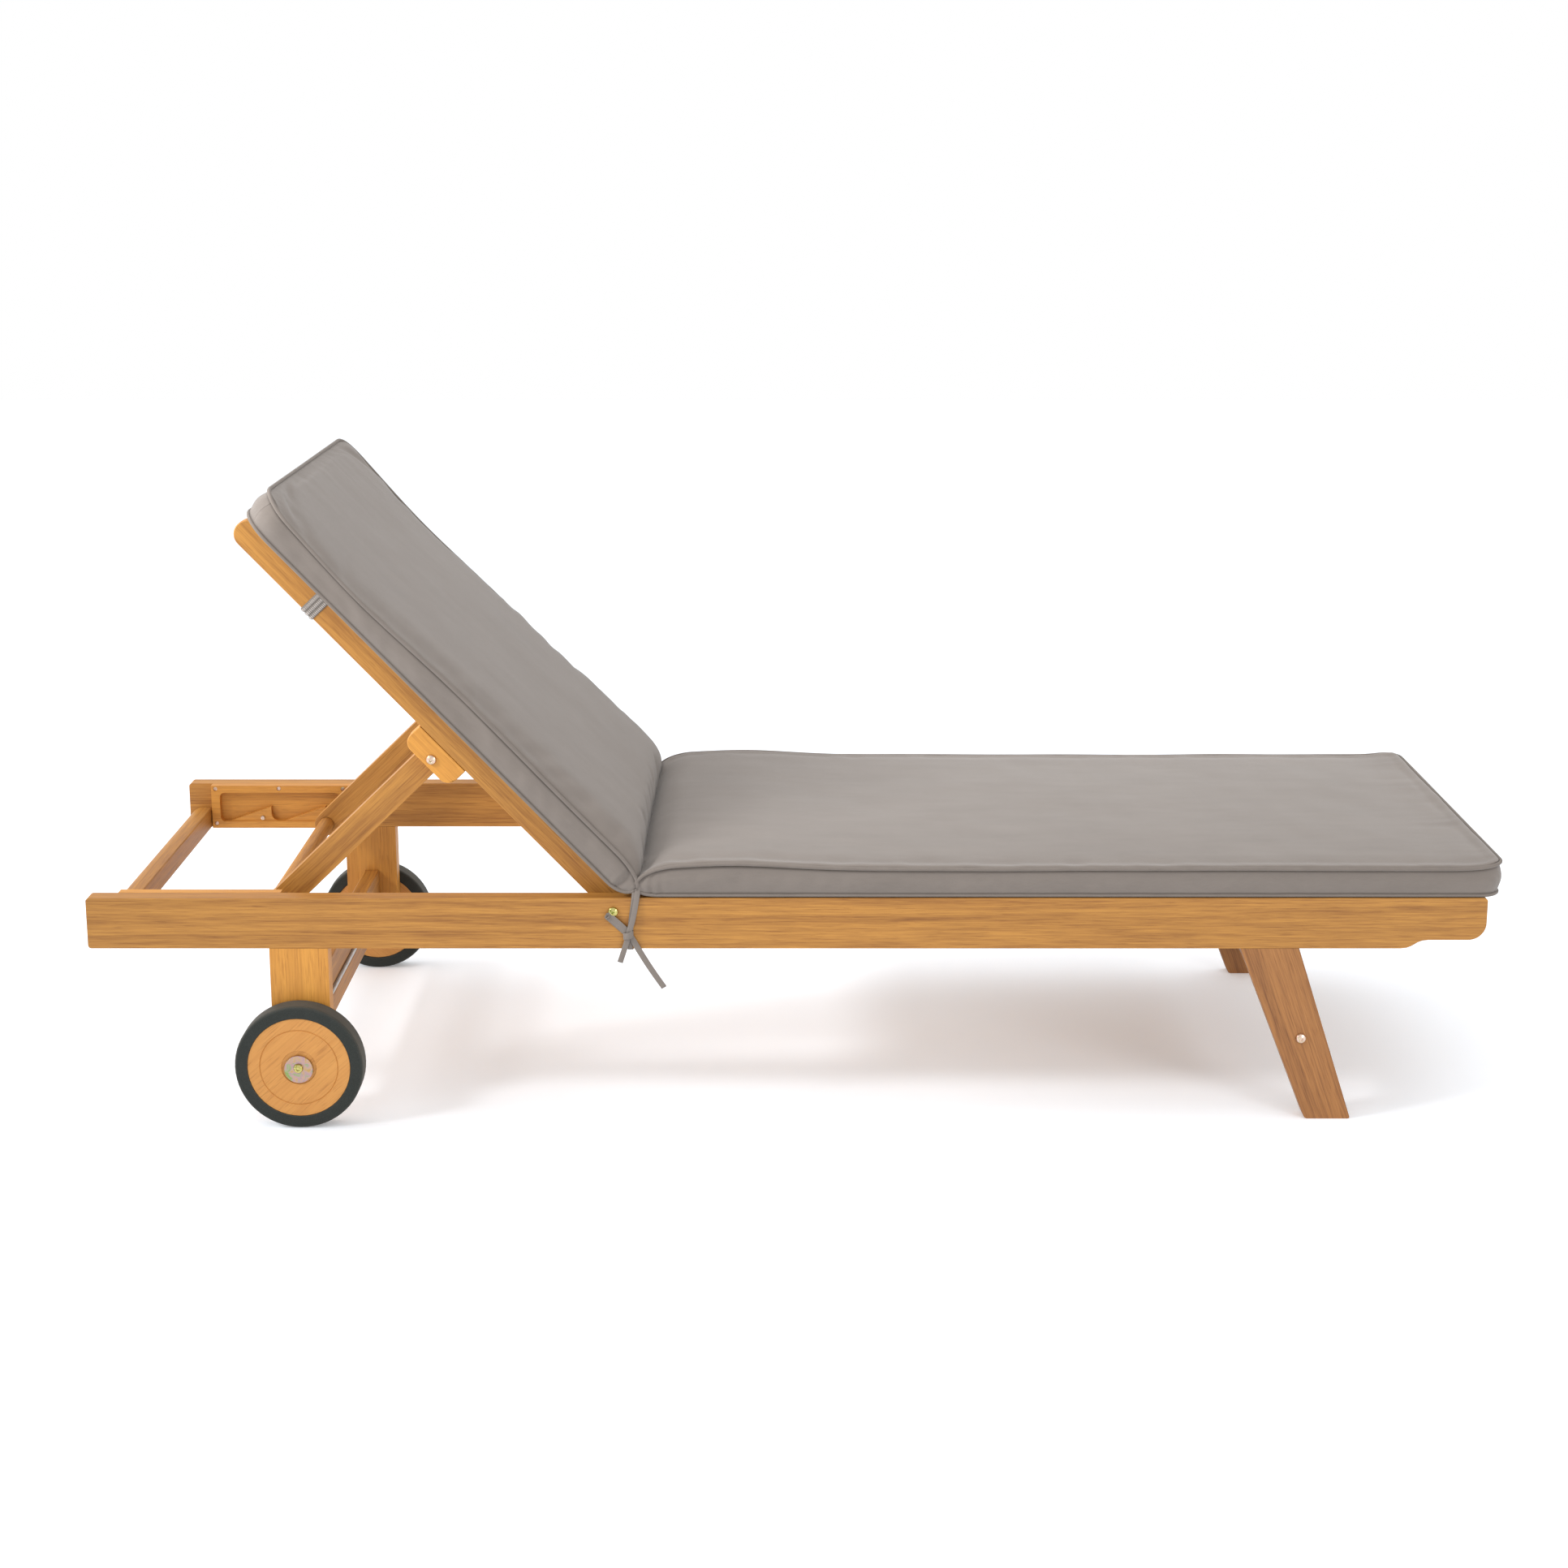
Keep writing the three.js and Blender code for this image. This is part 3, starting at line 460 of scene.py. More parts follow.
yellow = zinc("yellow_zinc", YELLOW_ZINC, 0.14, 260)
pink = zinc("pale_zinc", PINK_ZINC, 0.22, 300)
rainbow = zinc("rainbow_zinc", RAINBOW_ZINC, 0.30, 95)
steel_finish = steel()
rubber_finish = rubber()
for side, sign in SIDES.items():
    grain = WHEEL_GRAIN if sign < 0 else Vector((-WHEEL_GRAIN.x, 0, WHEEL_GRAIN.z))
    disc = wood(f"wheel_wood_{side}", grain, WHEEL_LIGHT, WHEEL_DARK, 40 + sign, laminated=True)
    dress(f"wheel_disc_{side}", disc, 0.0006)
    dress(f"tyre_{side}", rubber_finish, 0.0012)
    dress(f"hub_washer_{side}", rainbow, 0.0004)
    dress(f"hub_screw_{side}", yellow, 0.0003)
    dress(f"hinge_bolt_{side}", yellow, 0.0003)
    dress(f"prop_bolt_{side}", pink, 0.0003)
    dress(f"stretcher_bolt_{side}", pink, 0.0003)
    dress(f"hinge_spacer_{side}", steel_finish, 0.0004)
for node in ("axle_rod", "tie_rod"):
    dress(node, steel_finish, 0.0004)


# Swept pieces: piping, ties and loops


def through(points, per_span=8):
    """Points along a smooth curve through the given ones (a Catmull-Rom spline)."""
    last = len(points) - 1
    line = []
    for i in range(last):
        a, b, c, d = (Vector(points[min(max(i + k, 0), last)]) for k in (-1, 0, 1, 2))
        second = 2 * a - 5 * b + 4 * c - d
        third = 3 * b - a - 3 * c + d
        for step in range(per_span):
            t = step / per_span
            line.append(0.5 * (2 * b + (c - a) * t + second * t * t + third * t**3))
    line.append(Vector(points[-1]))
    return line


def directions(line):
    """The unit direction of a line at each of its points."""
    ahead = line[1:] + line[-1:]
    behind = line[:1] + line[:-1]
    return [(a - b).normalized() for a, b in zip(ahead, behind)]


def carried(line, first):
    """Cross directions carried along a line with as little twist as possible."""
    found = [first.normalized()]
    for tangent in directions(line)[1:]:
        flat = found[-1] - tangent * found[-1].dot(tangent)
        found.append(flat.normalized())
    return found


def ring(radius, count=10):
    """Points of a circle."""
    turns = [2 * math.pi * i / count for i in range(count)]
    return [(radius * math.cos(turn), radius * math.sin(turn)) for turn in turns]


def band(width, thickness):
    """Flat section with rounded edges."""
    half, t = width / 2, thickness / 2
    upper = [(half - t, t), (half - 0.3 * t, 0.7 * t)]
    side = upper + [(half, 0)] + [(x, -y) for x, y in reversed(upper)]
    return side + [(0, -t)] + [(-x, y) for x, y in reversed(side)] + [(0, t)]


def sweep(line, sections, normals):
    """Points, faces and flat coordinates of a closed skin over one section per point of the line.

    A section's y runs along the normal.
    """
    points, faces, flats = [], [], []
    size = len(sections[0])
    travelled = 0.0
    last = line[0]
    for centre, tangent, normal, section in zip(line, directions(line), normals, sections):
        across = tangent.cross(normal).normalized()
        upright = across.cross(tangent)
        travelled += (centre - last).length
        last = centre
        points += [centre + across * x + upright * y for x, y in section]
        flats += [(x + y, travelled) for x, y in section]
    count = len(line)
    for i in range(count - 1):
        here, there = i * size, (i + 1) * size
        for k in range(size):
            n = (k + 1) % size
            faces.append((here + k, there + k, there + n, here + n))
    faces.append(tuple(range(size)))
    faces.append(tuple((count - 1) * size + k for k in reversed(range(size))))
    return points, faces, flats


def joined(name, parts):
    """One mesh from several (points, faces, flats) parts."""
    points, faces, flats = [], [], []
    for part_points, part_faces, part_flats in parts:
        start = len(points)
        points += part_points
        flats += part_flats
        faces += [tuple(start + k for k in face) for face in part_faces]
    return new_mesh(name, points, faces, flats)


# Cushions: crowned pads with side walls, piped along both rims


def stations(length, first_round, last_round, step, arcs=7):
    """Stations along a length, closer together where the surface curves down at either end."""
    first = [first_round * (1 - math.cos(math.pi / 2 * i / arcs)) for i in range(arcs)]
    last = [length - last_round * (1 - math.cos(math.pi / 2 * i / arcs)) for i in range(arcs)]
    count = round((length - first_round - last_round) / step)
    middle = [first_round + (length - first_round - last_round) * i / count for i in range(count + 1)]
    return first + middle + last[::-1]


def outline(rows, columns):
    """Indices round a grid's edge: the near side, the end, the far side and the fold."""
    near = [i * columns for i in range(rows)]
    end = [(rows - 1) * columns + j for j in range(1, columns)]
    far = [i * columns + columns - 1 for i in range(rows - 2, -1, -1)]
    fold = list(range(columns - 2, 0, -1))
    return near + end + far + fold


class Cushion:
    """A crowned pad measured from the fold, in metres.

    s runs along the pad from the fold, t across the lounger from its middle, and n out of the pad's
    resting plane. seam is the height of the lower rim at the fold, rim the height of the upper rim,
    crown the rise of the stuffing over it, belly how far the underside hangs down, and tuck the depth
    of the tuck in the walls near the fold.
    """

    # The side edges: the cushions lie a few millimetres to the right of the lounger's middle
    near, far = -0.3145, 0.3075
    # The mesh's step, and the upper rim's height over the lower one at the fold
    step, lip = 0.0095, 0.0035
    # Lengths over which the top rounds down at the fold and at the other edges
    fold_round, edge_round = 0.058, 0.052
    # Lengths over which the stations close up at the side edges and at the end
    edge_stations = 0.030
    # The stuffing lifts the middle by this much, fully so this far in from the edges
    middle_rise, middle_reach = 0.004, 0.24

    # Unevenness: its height, and the length along s and t over which it changes
    rim_waves = (0.0011, 0.16, 0.4)
    broad_softness = (0.0022, 0.22, 0.16)
    fine_softness = (0.0011, 0.05, 0.09)
    puckers = (0.0021, 0.024, 0.07)
    drag_lines = (0.0009, 0.2, 0.014)
    # Puckers follow the edges, and drag lines the end: how far in they lie, and how far they reach
    pucker_place = (0.016, 0.020)
    drag_place = (0.02, 0.055)

    # The underside hangs lower inside its rim: how far in from each edge, and over what length
    sink_from_side, sink_from_fold, sink_from_end, sink_length = 0.024, 0.03, 0.085, 0.03
    underside_round = 0.034
    # The underside's flat coordinates lie this far beside the upper face's
    aside = 0.9

    # Side walls: rows of points from the upper rim to the lower, and the rows beside the rims that take
    # painted shade under the piping
    wall_shares = (0.06, 0.13, 0.32, 0.5, 0.68, 0.87, 0.95)
    shaded_wall_shares = (0.06, 0.95)
    # How far the walls swell where they are full height, and that height
    wall_swell, full_wall = 0.0045, 0.03
    # Wrinkles start a little way from the fold
    wrinkle_height, wrinkle_start = 0.0006, 0.01
    # Fine pleats and one deep tuck near the fold: their places and reach along s
    pleat_place, tuck_place = (0.026, 0.016), (0.019, 0.005)
    # The pleats' depth, and their pitch over a full turn in radians
    pleat_depth, pleat_pitch = 0.0028, 0.0023
    # A point this close to the end or the fold counts as on it
    on_edge = 0.0005

    def __init__(self, name, origin, along, out, length, corner, seam, rim, crown, belly, tuck, seed):
        self.name, self.origin, self.along, self.out = name, origin, along, out
        self.length, self.corner, self.seam, self.rim = length, corner, seam, rim
        self.crown, self.belly, self.tuck, self.seed = crown, belly, tuck, seed

    def place(self, s, t, n):
        """A point of the pad in the lounger's frame."""
        return self.origin + self.along * s + Vector((0, t, 0)) + self.out * n

    def uneven(self, s, t, pattern, layer):
        """One kind of unevenness at a place; each layer has noise of its own."""
        height, length, width = pattern
        return height * noise.noise(Vector((s / length, t / width, self.seed + layer * 7.3)))

    def plan(self, s, t):
        """Rounds the two corners at the end away from the fold."""
        r = self.corner
        ds = s - (self.length - r)
        dt = max(t - (self.far - r), (self.near + r) - t)
        if ds <= 0 or dt <= 0:
            return s, t
        pull = max(ds, dt) / math.hypot(ds, dt)
        side = 1 if t > 0 else -1
        centre = self.far - r if t > 0 else self.near + r
        return self.length - r + ds * pull, centre + side * dt * pull

    def rim_height(self, s, t):
        """Height of the upper rim, which comes down to the lip at the fold."""
        wave = self.uneven(s, t, self.rim_waves, 1)
        rise = self.rim(s) + wave - self.seam - self.lip
        return self.seam + self.lip + rise * quarter(s / self.fold_round)

    def top(self, s, t):
        """Height of the upper face."""
        away = self.length - s
        sides = (t - self.near, self.far - t, away)
        edge = min(sides)
        ends = [quarter(d / self.edge_round) for d in sides]
        dome = ends[0] * ends[1] * ends[2]
        fold = quarter(s / self.fold_round)
        middle = smooth(edge / self.middle_reach)
        height = self.rim(s) + self.crown(s) * dome + self.middle_rise * middle
        soft = self.uneven(s, t, self.broad_softness, 2) + self.uneven(s, t, self.fine_softness, 3)
        pucker = self.uneven(s, t, self.puckers, 4) * bump(edge, *self.pucker_place)
        drag = self.uneven(s, t, self.drag_lines, 5) * bump(away, *self.drag_place)
        ripple = (soft * dome + pucker + drag) * fold
        return self.seam + self.lip + (height - self.seam - self.lip) * fold + ripple

    def bottom(self, s, t):
        """Height of the underside, which rounds up to the seam at the fold."""
        from_side = min(t - self.near, self.far - t)
        sink = smooth((from_side - self.sink_from_side) / self.sink_length)
        sink *= smooth((s - self.sink_from_fold) / self.sink_length)
        sink *= smooth((self.length - s - self.sink_from_end) / self.sink_length)
        return self.seam * (1 - quarter(s / self.underside_round)) - self.belly * sink

    def outward(self, s, t):
        """Outward direction at the outline, in the pad's own s, t and n."""
        r = self.corner
        ds = s - (self.length - r)
        dt = t - (self.far - r) if t > 0 else t - (self.near + r)
        outside = dt > 0 if t > 0 else dt < 0
        if ds > 0 and outside:
            return Vector((ds, dt, 0)).normalized()
        if s > self.length - self.on_edge:
            return Vector((1, 0, 0))
        if s < self.on_edge:
            return Vector((0, 0, 0))
        return Vector((0, 1 if t > 0 else -1, 0))

    def sheets(self, along, across):
        """Points and flat coordinates of the upper face, and then of the underside."""
        last_row, last_column = len(along) - 1, len(across) - 1
        points, flats = [], []
        for face, height, aside in (("upper", self.top, 0), ("lower", self.bottom, self.aside)):
            for i, straight_s in enumerate(along):
                for j, straight_t in enumerate(across):
                    s, t = self.plan(straight_s, straight_t)
                    on_rim = i in (0, last_row) or j in (0, last_column)
                    n = self.rim_height(s, t) if on_rim and face == "upper" else height(s, t)
                    points.append((s, t, n))
                    flats.append((s, t + aside))
        return points, flats

    def walls(self, points, flats, upper, lower):
        """Adds the side walls' points; returns the loops from rim to rim, and the points that carry
        painted seam shade.
        """
        loops = [upper]
        seam_shaded = upper + lower
        for share in self.wall_shares:
            loop = list(range(len(points), len(points) + len(upper)))
            bow = math.sin(math.pi * share)
            for k, (above, below) in enumerate(zip(upper, lower)):
                high, low = Vector(points[above]), Vector(points[below])
                swell = self.wall_swell * bow**1.5 * min(1, (high.z - low.z) / self.full_wall)
                crumple = noise.noise(Vector((k * 0.35, share * 2.5, self.seed + 31)))
                wrinkle = self.wrinkle_height * crumple if high.x > self.wrinkle_start else 0
                wave = math.sin(high.x / self.pleat_pitch + 1.5 * share)
                pleat = self.pleat_depth * bump(high.x, *self.pleat_place) * wave
                tuck = self.tuck * bump(high.x, *self.tuck_place) * bow
                outward = self.outward(high.x, high.y)
                p = high.lerp(low, share) + outward * (swell + wrinkle + pleat - tuck)
                points.append(tuple(p))
                flats.append((p.x + outward.x * (high.z - p.z), p.y + outward.y * (high.z - p.z)))
            if share in self.shaded_wall_shares:
                seam_shaded += loop
            loops.append(loop)
        return loops + [lower], seam_shaded

    def build(self):
        """The closed mesh; its upper rim, lower rim and underside as indices; both rims as points."""
        along = stations(self.length, self.fold_round, self.edge_stations, self.step, arcs=12)
        round_off = self.edge_stations
        across = stations(self.far - self.near, round_off, round_off, self.step)
        across = [self.near + d for d in across]
        rows, columns = len(along), len(across)
        sheet = rows * columns
        points, flats = self.sheets(along, across)
        upper = outline(rows, columns)
        lower = [k + sheet for k in upper]
        faces = []
        for i in range(rows - 1):
            for j in range(columns - 1):
                a = i * columns + j
                b = a + sheet
                faces.append((a, a + columns, a + columns + 1, a + 1))
                faces.append((b, b + 1, b + columns + 1, b + columns))
        loops, seam_shaded = self.walls(points, flats, upper, lower)
        for here, there in zip(loops, loops[1:]):
            for k in range(len(here)):
                n = (k + 1) % len(here)
                faces.append((here[k], here[n], there[n], there[k]))
        piece = new_mesh(self.name, [self.place(*p) for p in points], [f[::-1] for f in faces], flats)
        # Marks the rims and the rows beside them for the cover's painted seam shade
        seam_shade = piece.data.attributes.new("seam_shaded", "FLOAT", "POINT")
        for k in seam_shaded:
            seam_shade.data[k].value = 1
        fold_side = columns - 2
        rims = [[points[k] for k in rim[:-fold_side]] for rim in (upper, lower)]
        return piece, upper, lower, list(range(sheet, 2 * sheet)), rims


# How sharp the piped rims stay under the subdivision, of 1
RIM_SHARPNESS = 0.75
# The cover's cloth: how many frames it is left to swell, how hard it is pressed and how far it may go
SWELL_FRAMES, SWELL_PRESSURE, MOST_SWELL = 20, 4.0, 0.006
# The cloth stays put this close to a piped rim, and is free this much further on
STAY_BY_THE_RIM, FREE_AFTER = 0.002, 0.02
PIPING_RADIUS = 0.0026
# How far the upper and the lower cord stand out from their rims, and above them
CORD_OFFSETS = ((0.0024, 0.0004), (-0.0004, 0.0))


def mark_creases(piece, rims):
    """Keeps the piped rims sharp under the subdivision."""
    paired = set()
    for rim in rims:
        paired |= {frozenset(p) for p in zip(rim, rim[1:] + rim[:1])}
    crease = piece.data.attributes.new("crease_edge", "FLOAT", "EDGE")
    for edge in piece.data.edges:
        if frozenset(edge.vertices) in paired:
            crease.data[edge.index].value = RIM_SHARPNESS


def inflate(piece, held, rims):
    """Lets the stuffing press the cover out between its held seams, less so close to the piped rims."""
    rest = np.array([v.co for v in piece.data.vertices])
    seams = KDTree(len(rims))
    for k in rims:
        seams.insert(piece.data.vertices[k].co, k)
    seams.balance()
    distances = [seams.find(v.co)[2] for v in piece.data.vertices]
    free = np.array([smooth((d - STAY_BY_THE_RIM) / FREE_AFTER) for d in distances])
    group = piece.vertex_groups.new(name="seams")
    group.add(held, 1.0, "REPLACE")
    cloth = piece.modifiers.new("Cover", "CLOTH")
    cloth.settings.quality = 5
    cloth.settings.mass = 0.25
    cloth.settings.tension_stiffness = 25
    cloth.settings.compression_stiffness = 18
    cloth.settings.shear_stiffness = 8
    cloth.settings.bending_stiffness = 1.2
    cloth.settings.use_pressure = True
    cloth.settings.uniform_pressure_force = SWELL_PRESSURE
    cloth.settings.shrink_min = -0.012
    cloth.settings.vertex_group_mass = "seams"
    cloth.settings.effector_weights.gravity = 0
    cloth.point_cache.frame_end = SWELL_FRAMES
    scene = bpy.context.scene
    for step in range(1, SWELL_FRAMES + 1):
        scene.frame_set(step)
    graph = bpy.context.evaluated_depsgraph_get()
    swollen = np.array([v.co for v in piece.evaluated_get(graph).data.vertices])
    piece.modifiers.remove(cloth)
    scene.frame_set(1)
    moved = swollen - rest
    length = np.linalg.norm(moved, axis=1)
    limit = free * MOST_SWELL * np.tanh(length / MOST_SWELL) / np.maximum(length, 1e-9)
    final = rest + moved * limit[:, None]
    piece.data.vertices.foreach_set("co", final.astype(np.float32).ravel())
    piece.data.update()


def piping(pad, rims, fold_cord):
    """Round cords along both rims, from end to end of the fold, and along the fold if asked."""
    lines = []
    for rim, (off, lift) in zip(rims, CORD_OFFSETS):
        line = []
        for s, t, n in rim:
            outward = pad.outward(s, t) * off
            line.append(pad.place(s + outward.x, t + outward.y, n + lift))
        lines.append(line)
    if fold_cord:
        middle = pad.seam + pad.lip / 2
        across = np.linspace(0, pad.far - pad.near, 60)
        lines.append([pad.place(-0.001, pad.near + d, middle) for d in across])
    tipped = pad.out + ALONG_X * 0.01
    parts = [sweep(line, [ring(PIPING_RADIUS)] * len(line), carried(line, tipped)) for line in lines]
    return joined(f"{pad.name}_piping", parts)


def upholster(pad, cover, cord_finish, body, node, blend_to=None):
    """Builds a pad and its piping on a body, in place of a CAD node; with blend_to given, the pad has
    no fold cord and rides on no body, its place baked into the mesh.
    """
    piece, upper, lower, underside, rims = pad.build()
    mark_creases(piece, [upper, lower])
    inflate(piece, upper + lower + underside, upper + lower)
    rounding = piece.modifiers.new("Rounding", "SUBSURF")
    rounding.levels = rounding.render_levels = 1
    cords = piping(pad, rims, fold_cord=not blend_to)
    finish_piece(piece, cover, None if blend_to else body)
    finish_piece(cords, cord_finish, None if blend_to else body)
    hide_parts(node)
    if blend_to:
        for part in (piece, cords):
            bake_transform(part)


# The cover carries painted shade along its piped seams
cover = fabric("taupe_cover", TAUPE, 0.0009, seam_shaded=True)
cord_finish = fabric("taupe_piping", PIPING_TAUPE, 0.0007, fuzz=0.1)

# The seat's fold from the head end, and its resting plane over the rails
SEAT_START, SEAT_LIFT = 0.7845, 0.0032
SEAT_LENGTH, BACK_LENGTH = 1.2365, 0.759
seat = Cushion(
    "seat_pad",
    origin=Vector((HEAD_END + SEAT_START, 0, RAIL_TOP + SEAT_LIFT)),
    along=ALONG_X,
    out=ALONG_Z,
    length=SEAT_LENGTH,
    corner=0.030,
    seam=0.0105,
    rim=lambda s: 0.0395 + 0.0075 * bump(s, 0.14, 0.11) + 0.0055 * bump(s, SEAT_LENGTH, 0.035),
    crown=lambda s: 0.0120 - 0.001 * smooth(s / 1.2),
    belly=0.0062,
    tuck=0.0,
    seed=3.1,
)
upholster(seat, cover, cord_finish, "frame", "seat_cushion")

# The fold's place from the pivot, up the back and out of it
FOLD_UP, FOLD_OUT = 0.002, 0.0235
# A span up the back from just above the fold; upholster only checks that it is given, and bends nothing
BEND_HEIGHT, BEND_LENGTH = 0.01, 0.05
# The elastic loops' place up the back; they draw the cushion in just below it
ELASTIC_ALONG, DRAWN_IN = 0.603, 0.573
back = Cushion(
    "back_pad",
    origin=PIVOT + UP_THE_BACK * FOLD_UP + OUT_OF_THE_BACK * FOLD_OUT,
    along=UP_THE_BACK,
    out=OUT_OF_THE_BACK,
    length=BACK_LENGTH,
    corner=0.050,
    seam=0.0205,
    rim=lambda s: 0.0405 - 0.0065 * bump(s, DRAWN_IN, 0.13) + 0.003 * bump(s, BACK_LENGTH, 0.03),
    crown=lambda s: 0.0185 - 0.0145 * smooth(s / 0.72) - 0.001 * bump(s, ELASTIC_ALONG, 0.05),
    belly=0.0026,
    tuck=0.0075,
    seed=8.4,
)
bend_start = back.place(0, 0, BEND_HEIGHT)
bend = (bend_start, bend_start + UP_THE_BACK * BEND_LENGTH)
upholster(back, cover, cord_finish, "back", "back_cushion", bend)


# Fabric ties round the side rails at the fold


def on_rail(x, z, off, sign):
    """A point off a rail's outer face, x from the head end and z above the floor, in millimetres."""
    return Vector((HEAD_END + x * MM, sign * (RAIL_OUTER_FACE + off * MM), z * MM))


def strap(points, width, thickness, normals):
    """A flat strap through some points, facing a direction at each."""
    line = through(points)
    spread = through(normals)
    sections = [band(width, thickness)] * len(line)
    return sweep(line, sections, [n.normalized() for n in spread])


TIE_THICKNESS, KNOT_THICKNESS = 0.0011, 0.0018
STRAND_WIDTH, TIE_LOOP_WIDTH, TAIL_WIDTH, KNOT_WIDTH = 0.0080, 0.0108, 0.0086, 0.0098


def tie(side, sign):
    """A strand down from the fold, a turn round the rail, a loop and a tail, held by a knot."""
    inner, low = (RAIL_OUTER_FACE - RAIL_INNER_FACE) / MM, RAIL_UNDERSIDE / MM
    out, right, down = Vector((0, sign, 0)), ALONG_X, -ALONG_Z

    def points(*places):
        return [on_rail(x, z, off, sign) for x, z, off in places]

    strand = points(
        (787.5, 350, -6), (787, 341, 0.4), (784.5, 325, 3.6), (780, 303, 5.0), (776, 290, 5.0),
        (774, 282, 4.8), (771, 270, 4.4), (766, 254, 3.6), (761.5, 240, 2.6),
    )
    wrap = points(
        (783.5, 349, -7), (783, 339, 0.2), (781.5, 325, 0.9), (778, 300, 0.9), (775.5, 272, 0.9),
        (776, 260.5, 0.6), (777, low - 0.9, -2.5), (778, low - 0.9, 3 - inner),
        (778.5, 262, -0.9 - inner), (780, 300, -0.9 - inner), (782, 332, -0.9 - inner),
        (783.5, 343, 1 - inner),
    )
    wrap_faces = [out] * 5 + [(out + down).normalized(), down, down] + [-out] * 4
    loop = points(
        (772, 284, 1.7), (761, 294, 1.8), (750, 304.5, 2.0), (744.8, 309.4, 2.8),
        (745.6, 309.8, 3.8), (752, 304.8, 4.0), (762, 295.5, 3.6), (773, 284.5, 3.2),
    )
    loop_tip = Vector((-0.75, sign * 0.3, 0.65))
    loop_faces = [out] * 3 + [loop_tip] + [-out] * 4
    tail = points((775, 283, 2.2), (779, 276, 2.4), (790, 256, 2.2), (806, 229, 1.6), (824, 201.5, 0.8))
    tail_faces = [out, out, (out + right * 0.15).normalized(), out, (out - right * 0.2).normalized()]
    knot = points(
        (767.4, 279, 1.0), (768, 279.6, 5.0), (773.8, 281, 8.0), (779.6, 282.6, 5.0), (780.2, 283, 1.0)
    )
    knot_faces = [-right, (out - right).normalized(), out, (out + right).normalized(), right]
    parts = [
        strap(strand, STRAND_WIDTH, TIE_THICKNESS, [out] * len(strand)),
        strap(wrap, STRAND_WIDTH, TIE_THICKNESS, wrap_faces),
        strap(loop, TIE_LOOP_WIDTH, TIE_THICKNESS, loop_faces),
        strap(tail, TAIL_WIDTH, TIE_THICKNESS, tail_faces),
        strap(knot, KNOT_WIDTH, KNOT_THICKNESS, knot_faces),
    ]
    return joined(f"tie_{side}", parts)


tie_finish = fabric("taupe_tie", TIE_TAUPE, 0.0007, fuzz=0.1)
for side, sign in SIDES.items():
    finish_piece(tie(side, sign), tie_finish, "frame")


# Ruched elastic loops round the stiles

STILE_LOW, STILE_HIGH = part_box("stile_right")
STILE_INNER_FACE, STILE_OUTER_FACE = -STILE_HIGH.y, -STILE_LOW.y
STILE_HALF_DEPTH = 0.020
# How far the loop stands off the stile's sides and off its underside
ELASTIC_SNUG, ELASTIC_GAP = 0.0006, 0.0013
# The gathers' height, and the share of it that is left between the stile and the prop arm
GATHER, ARM_SHARE, ARM_REACH = 0.0017, 0.45, 0.008
GATHER_CELLS = 18


def gathered(room, travelled):
    """The loop's section: rows of gathers, whose height follows the pleats along the loop.

    room is the share of their full height that the gathers have room for.
    """
    rows = round(ELASTIC_WIDTH / ELASTIC_ROW)
    section = []
    for k in range(GATHER_CELLS + 1):
        u = k / GATHER_CELLS
        row = u * rows
        phase = 1.3 * math.floor(min(row, rows - 0.01))
        swell = math.sin(math.pi * (row % 1)) if row < rows else 0
        pleat = 0.5 + 0.5 * math.sin(2 * math.pi * travelled / ELASTIC_PLEAT + phase)
        height = 0.0001 + GATHER * room * swell * (0.35 + 0.65 * pleat)
        section.append(((u - 0.5) * ELASTIC_WIDTH, height))
    return section + [((0.5 - k / 4) * ELASTIC_WIDTH, -0.0004) for k in range(5)]


def elastic_loop(side, sign):
    """A U-shaped loop under the stile, its cover gathered into rows of pleats."""

    def at(y, p):
        """A point y off the lounger's middle and p out of the back."""
        return PIVOT + UP_THE_BACK * ELASTIC_ALONG + OUT_OF_THE_BACK * p + Vector((0, sign * y, 0))

    outer, inner = STILE_OUTER_FACE + ELASTIC_SNUG, STILE_INNER_FACE - ELASTIC_SNUG
    corner, under = -STILE_HALF_DEPTH + 0.0012, -STILE_HALF_DEPTH - ELASTIC_GAP
    route = [
        at(outer, 0.0225), at(outer, 0.012), at(outer, -0.012), at(outer, corner),
        at(STILE_OUTER_FACE - 0.002, under), at(STILE_INNER_FACE + 0.003, under),
        at(inner, corner), at(inner, -0.010), at(inner, 0.004),
    ]
    line = through(route, per_span=36)
    middle = at((STILE_INNER_FACE + STILE_OUTER_FACE) / 2, 0)
    normals, sections = [], []
    travelled = 0.0
    last = line[0]
    for point in line:
        travelled += (point - last).length
        last = point
        clear = smooth((abs(point.y) - STILE_INNER_FACE) / ARM_REACH)
        sections.append(gathered(ARM_SHARE + (1 - ARM_SHARE) * clear, travelled))
        away = point - middle
        normals.append((away - UP_THE_BACK * away.dot(UP_THE_BACK)).normalized())
    return joined(f"elastic_loop_{side}", [sweep(line, sections, normals)])


elastic = elastic_fabric()
for side, sign in SIDES.items():
    finish_piece(elastic_loop(side, sign), elastic, "back")


# Cross-recess screws of the track plates

# x from the head end and z above the floor, in millimetres
SCREW_PLACES = [(47, 329.5), (153, 330), (260, 329.5), (47, 270), (260, 268.5), (124, 279)]
# How deep a head is let in, and how far its edge and its face stand over its base
SCREW_SINK, SCREW_RIM, SCREW_FACE = 0.0024, 0.0012, 0.0016
SCREW_RADIUS = 0.0033
# The cross recess: half its length, half its width, and its floor over the head's base
CROSS_REACH, CROSS_HALF_WIDTH, CROSS_FLOOR = 0.0019, 0.0005, 0.0004


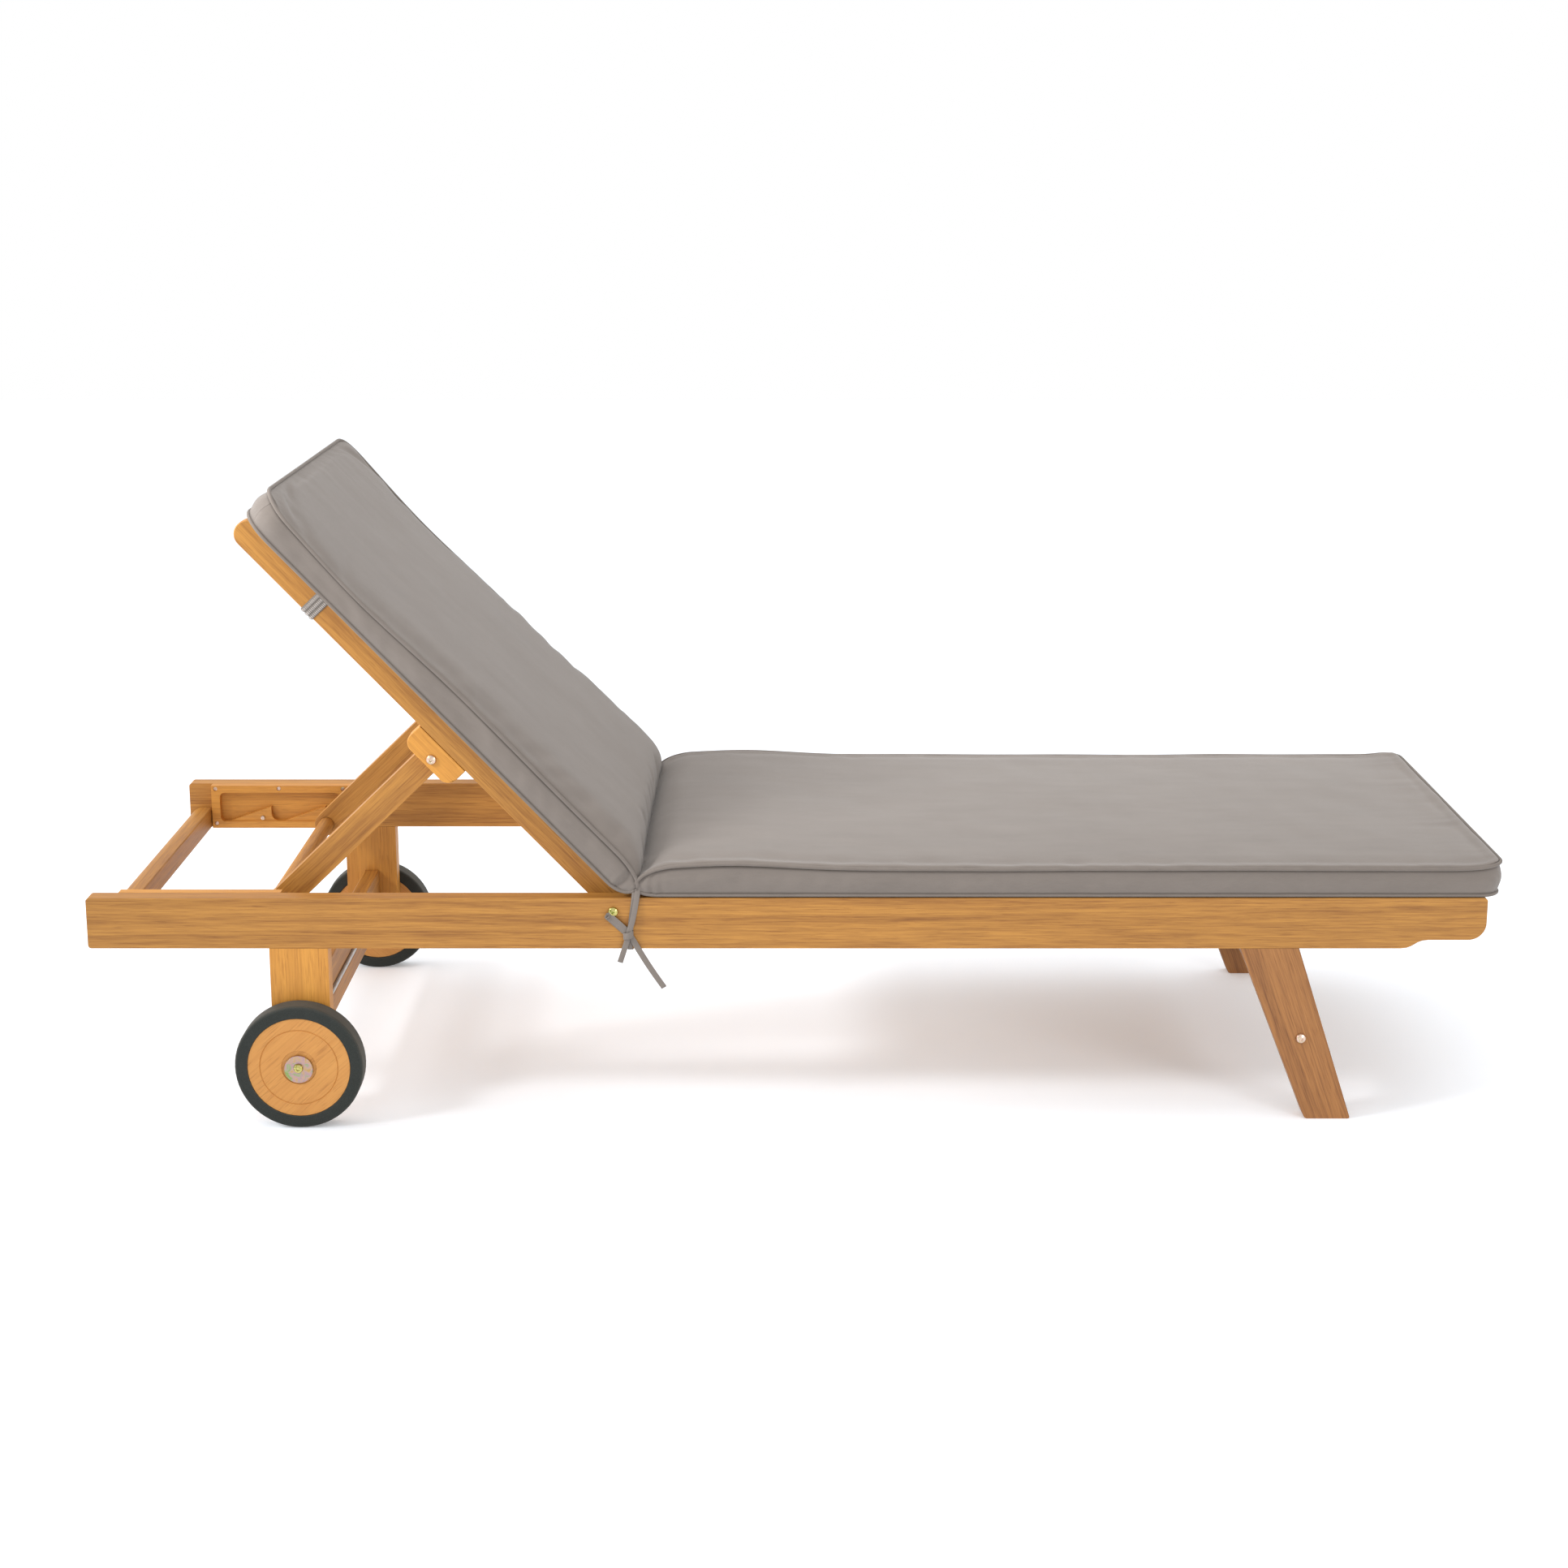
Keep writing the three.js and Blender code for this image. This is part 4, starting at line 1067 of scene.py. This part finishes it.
def add_cross_screw(shape, centre, toward):
    """Adds a countersunk head with a cross recess, facing towards the middle of the lounger."""
    reach, half = CROSS_REACH, CROSS_HALF_WIDTH
    cross = []
    for quarter_turn in range(4):
        c, s = math.cos(quarter_turn * math.pi / 2), math.sin(quarter_turn * math.pi / 2)
        for x, z in ((reach, -half), (reach, half), (half, half)):
            cross.append((c * x - s * z, s * x + c * z))
    rim = ring(SCREW_RADIUS, 24)

    def loop(outline, depth):
        return [shape.verts.new(centre + Vector((x, toward * depth, z))) for x, z in outline]

    base, edge = loop(rim, 0), loop(rim, SCREW_RIM)
    recess, bottom = loop(cross, SCREW_FACE), loop(cross, CROSS_FLOOR)
    for low, high in ((base, edge), (recess, bottom)):
        for i in range(len(low)):
            n = (i + 1) % len(low)
            shape.faces.new((low[i], low[n], high[n], high[i]))
    edges = []
    for ends in (edge, recess):
        edges += [shape.edges.get(pair) for pair in zip(ends, ends[1:] + ends[:1])]
    bmesh.ops.triangle_fill(shape, use_beauty=True, edges=edges)
    shape.faces.new(bottom)
    shape.faces.new(base)


def plate_screws(side, sign):
    """All the screws of one track plate."""
    plate_low, plate_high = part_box(f"track_plate_{side}")
    face = plate_high.y if sign < 0 else plate_low.y
    shape = bmesh.new()
    for x, z in SCREW_PLACES:
        centre = Vector((HEAD_END + x * MM, face + sign * SCREW_SINK, z * MM))
        add_cross_screw(shape, centre, -sign)
    bmesh.ops.recalc_face_normals(shape, faces=shape.faces)
    mesh = bpy.data.meshes.new(f"plate_screws_{side}")
    shape.to_mesh(mesh)
    shape.free()
    piece = bpy.data.objects.new(mesh.name, mesh)
    bpy.context.scene.collection.objects.link(piece)
    return piece


for side, sign in SIDES.items():
    finish_piece(plate_screws(side, sign), pink, "frame")


# Floor, light and camera


def aimed_light(name, kind, place, aim, power, **settings):
    """A light at a place, shining at a point."""
    light = bpy.data.lights.new(name, kind)
    light.energy = power
    for key, value in settings.items():
        setattr(light, key, value)
    lamp = bpy.data.objects.new(name, light)
    lamp.location = place
    lamp.rotation_mode = "QUATERNION"
    lamp.rotation_quaternion = (Vector(aim) - Vector(place)).to_track_quat("-Z", "Y")
    bpy.context.scene.collection.objects.link(lamp)


def area_light(name, place, aim, size, power):
    """A rectangular light of a given width and height."""
    aimed_light(name, "AREA", place, aim, power, shape="RECTANGLE", size=size[0], size_y=size[1])


FLOOR_REACH = 9
corners = [(-1, -1), (1, -1), (1, 1), (-1, 1)]
floor = new_mesh("floor", [(x * FLOOR_REACH, y * FLOOR_REACH, 0) for x, y in corners], [(0, 1, 2, 3)])
floor.data.materials.append(floor_finish())

world = bpy.data.worlds.new("studio")
world.use_nodes = True
sky = world.node_tree.nodes["Background"]
sky.inputs["Color"].default_value = (1, 1, 1, 1)
sky.inputs["Strength"].default_value = 1.0
bpy.context.scene.world = world
area_light("overhead", (0.3, 0.4, 3.2), (0.2, 0, 0.2), (3.5, 2.6), 30)
area_light("left", (-3.3, 0.0, 1.4), (-0.7, 0, 0.8), (1.2, 1.2), 45)
aimed_light(
    "head", "SPOT", (-2.8, -1.4, 2.3), (-0.70, -0.25, 0.90), 430,
    spot_size=math.radians(30), spot_blend=1.0, shadow_soft_size=0.4,
)
area_light("front_right", (3.0, -3.4, 1.6), (0.7, 0, 0.2), (1.2, 1.2), 42)

SENSOR_WIDTH, LENS = 36, 55.0342
PITCH = 0.2062
CAMERA_PLACE = Vector((-0.0148, -3.5829, 1.4128))
camera_data = bpy.data.cameras.new("camera")
camera_data.sensor_width = SENSOR_WIDTH
camera_data.lens = LENS
camera_data.shift_y = -0.1
camera = bpy.data.objects.new("camera", camera_data)
bpy.context.scene.collection.objects.link(camera)
camera.matrix_world = Matrix.Translation(CAMERA_PLACE) @ Matrix.Rotation(math.pi / 2 - PITCH, 4, "X")
bpy.context.scene.camera = camera
bpy.context.scene.view_settings.view_transform = "Standard"
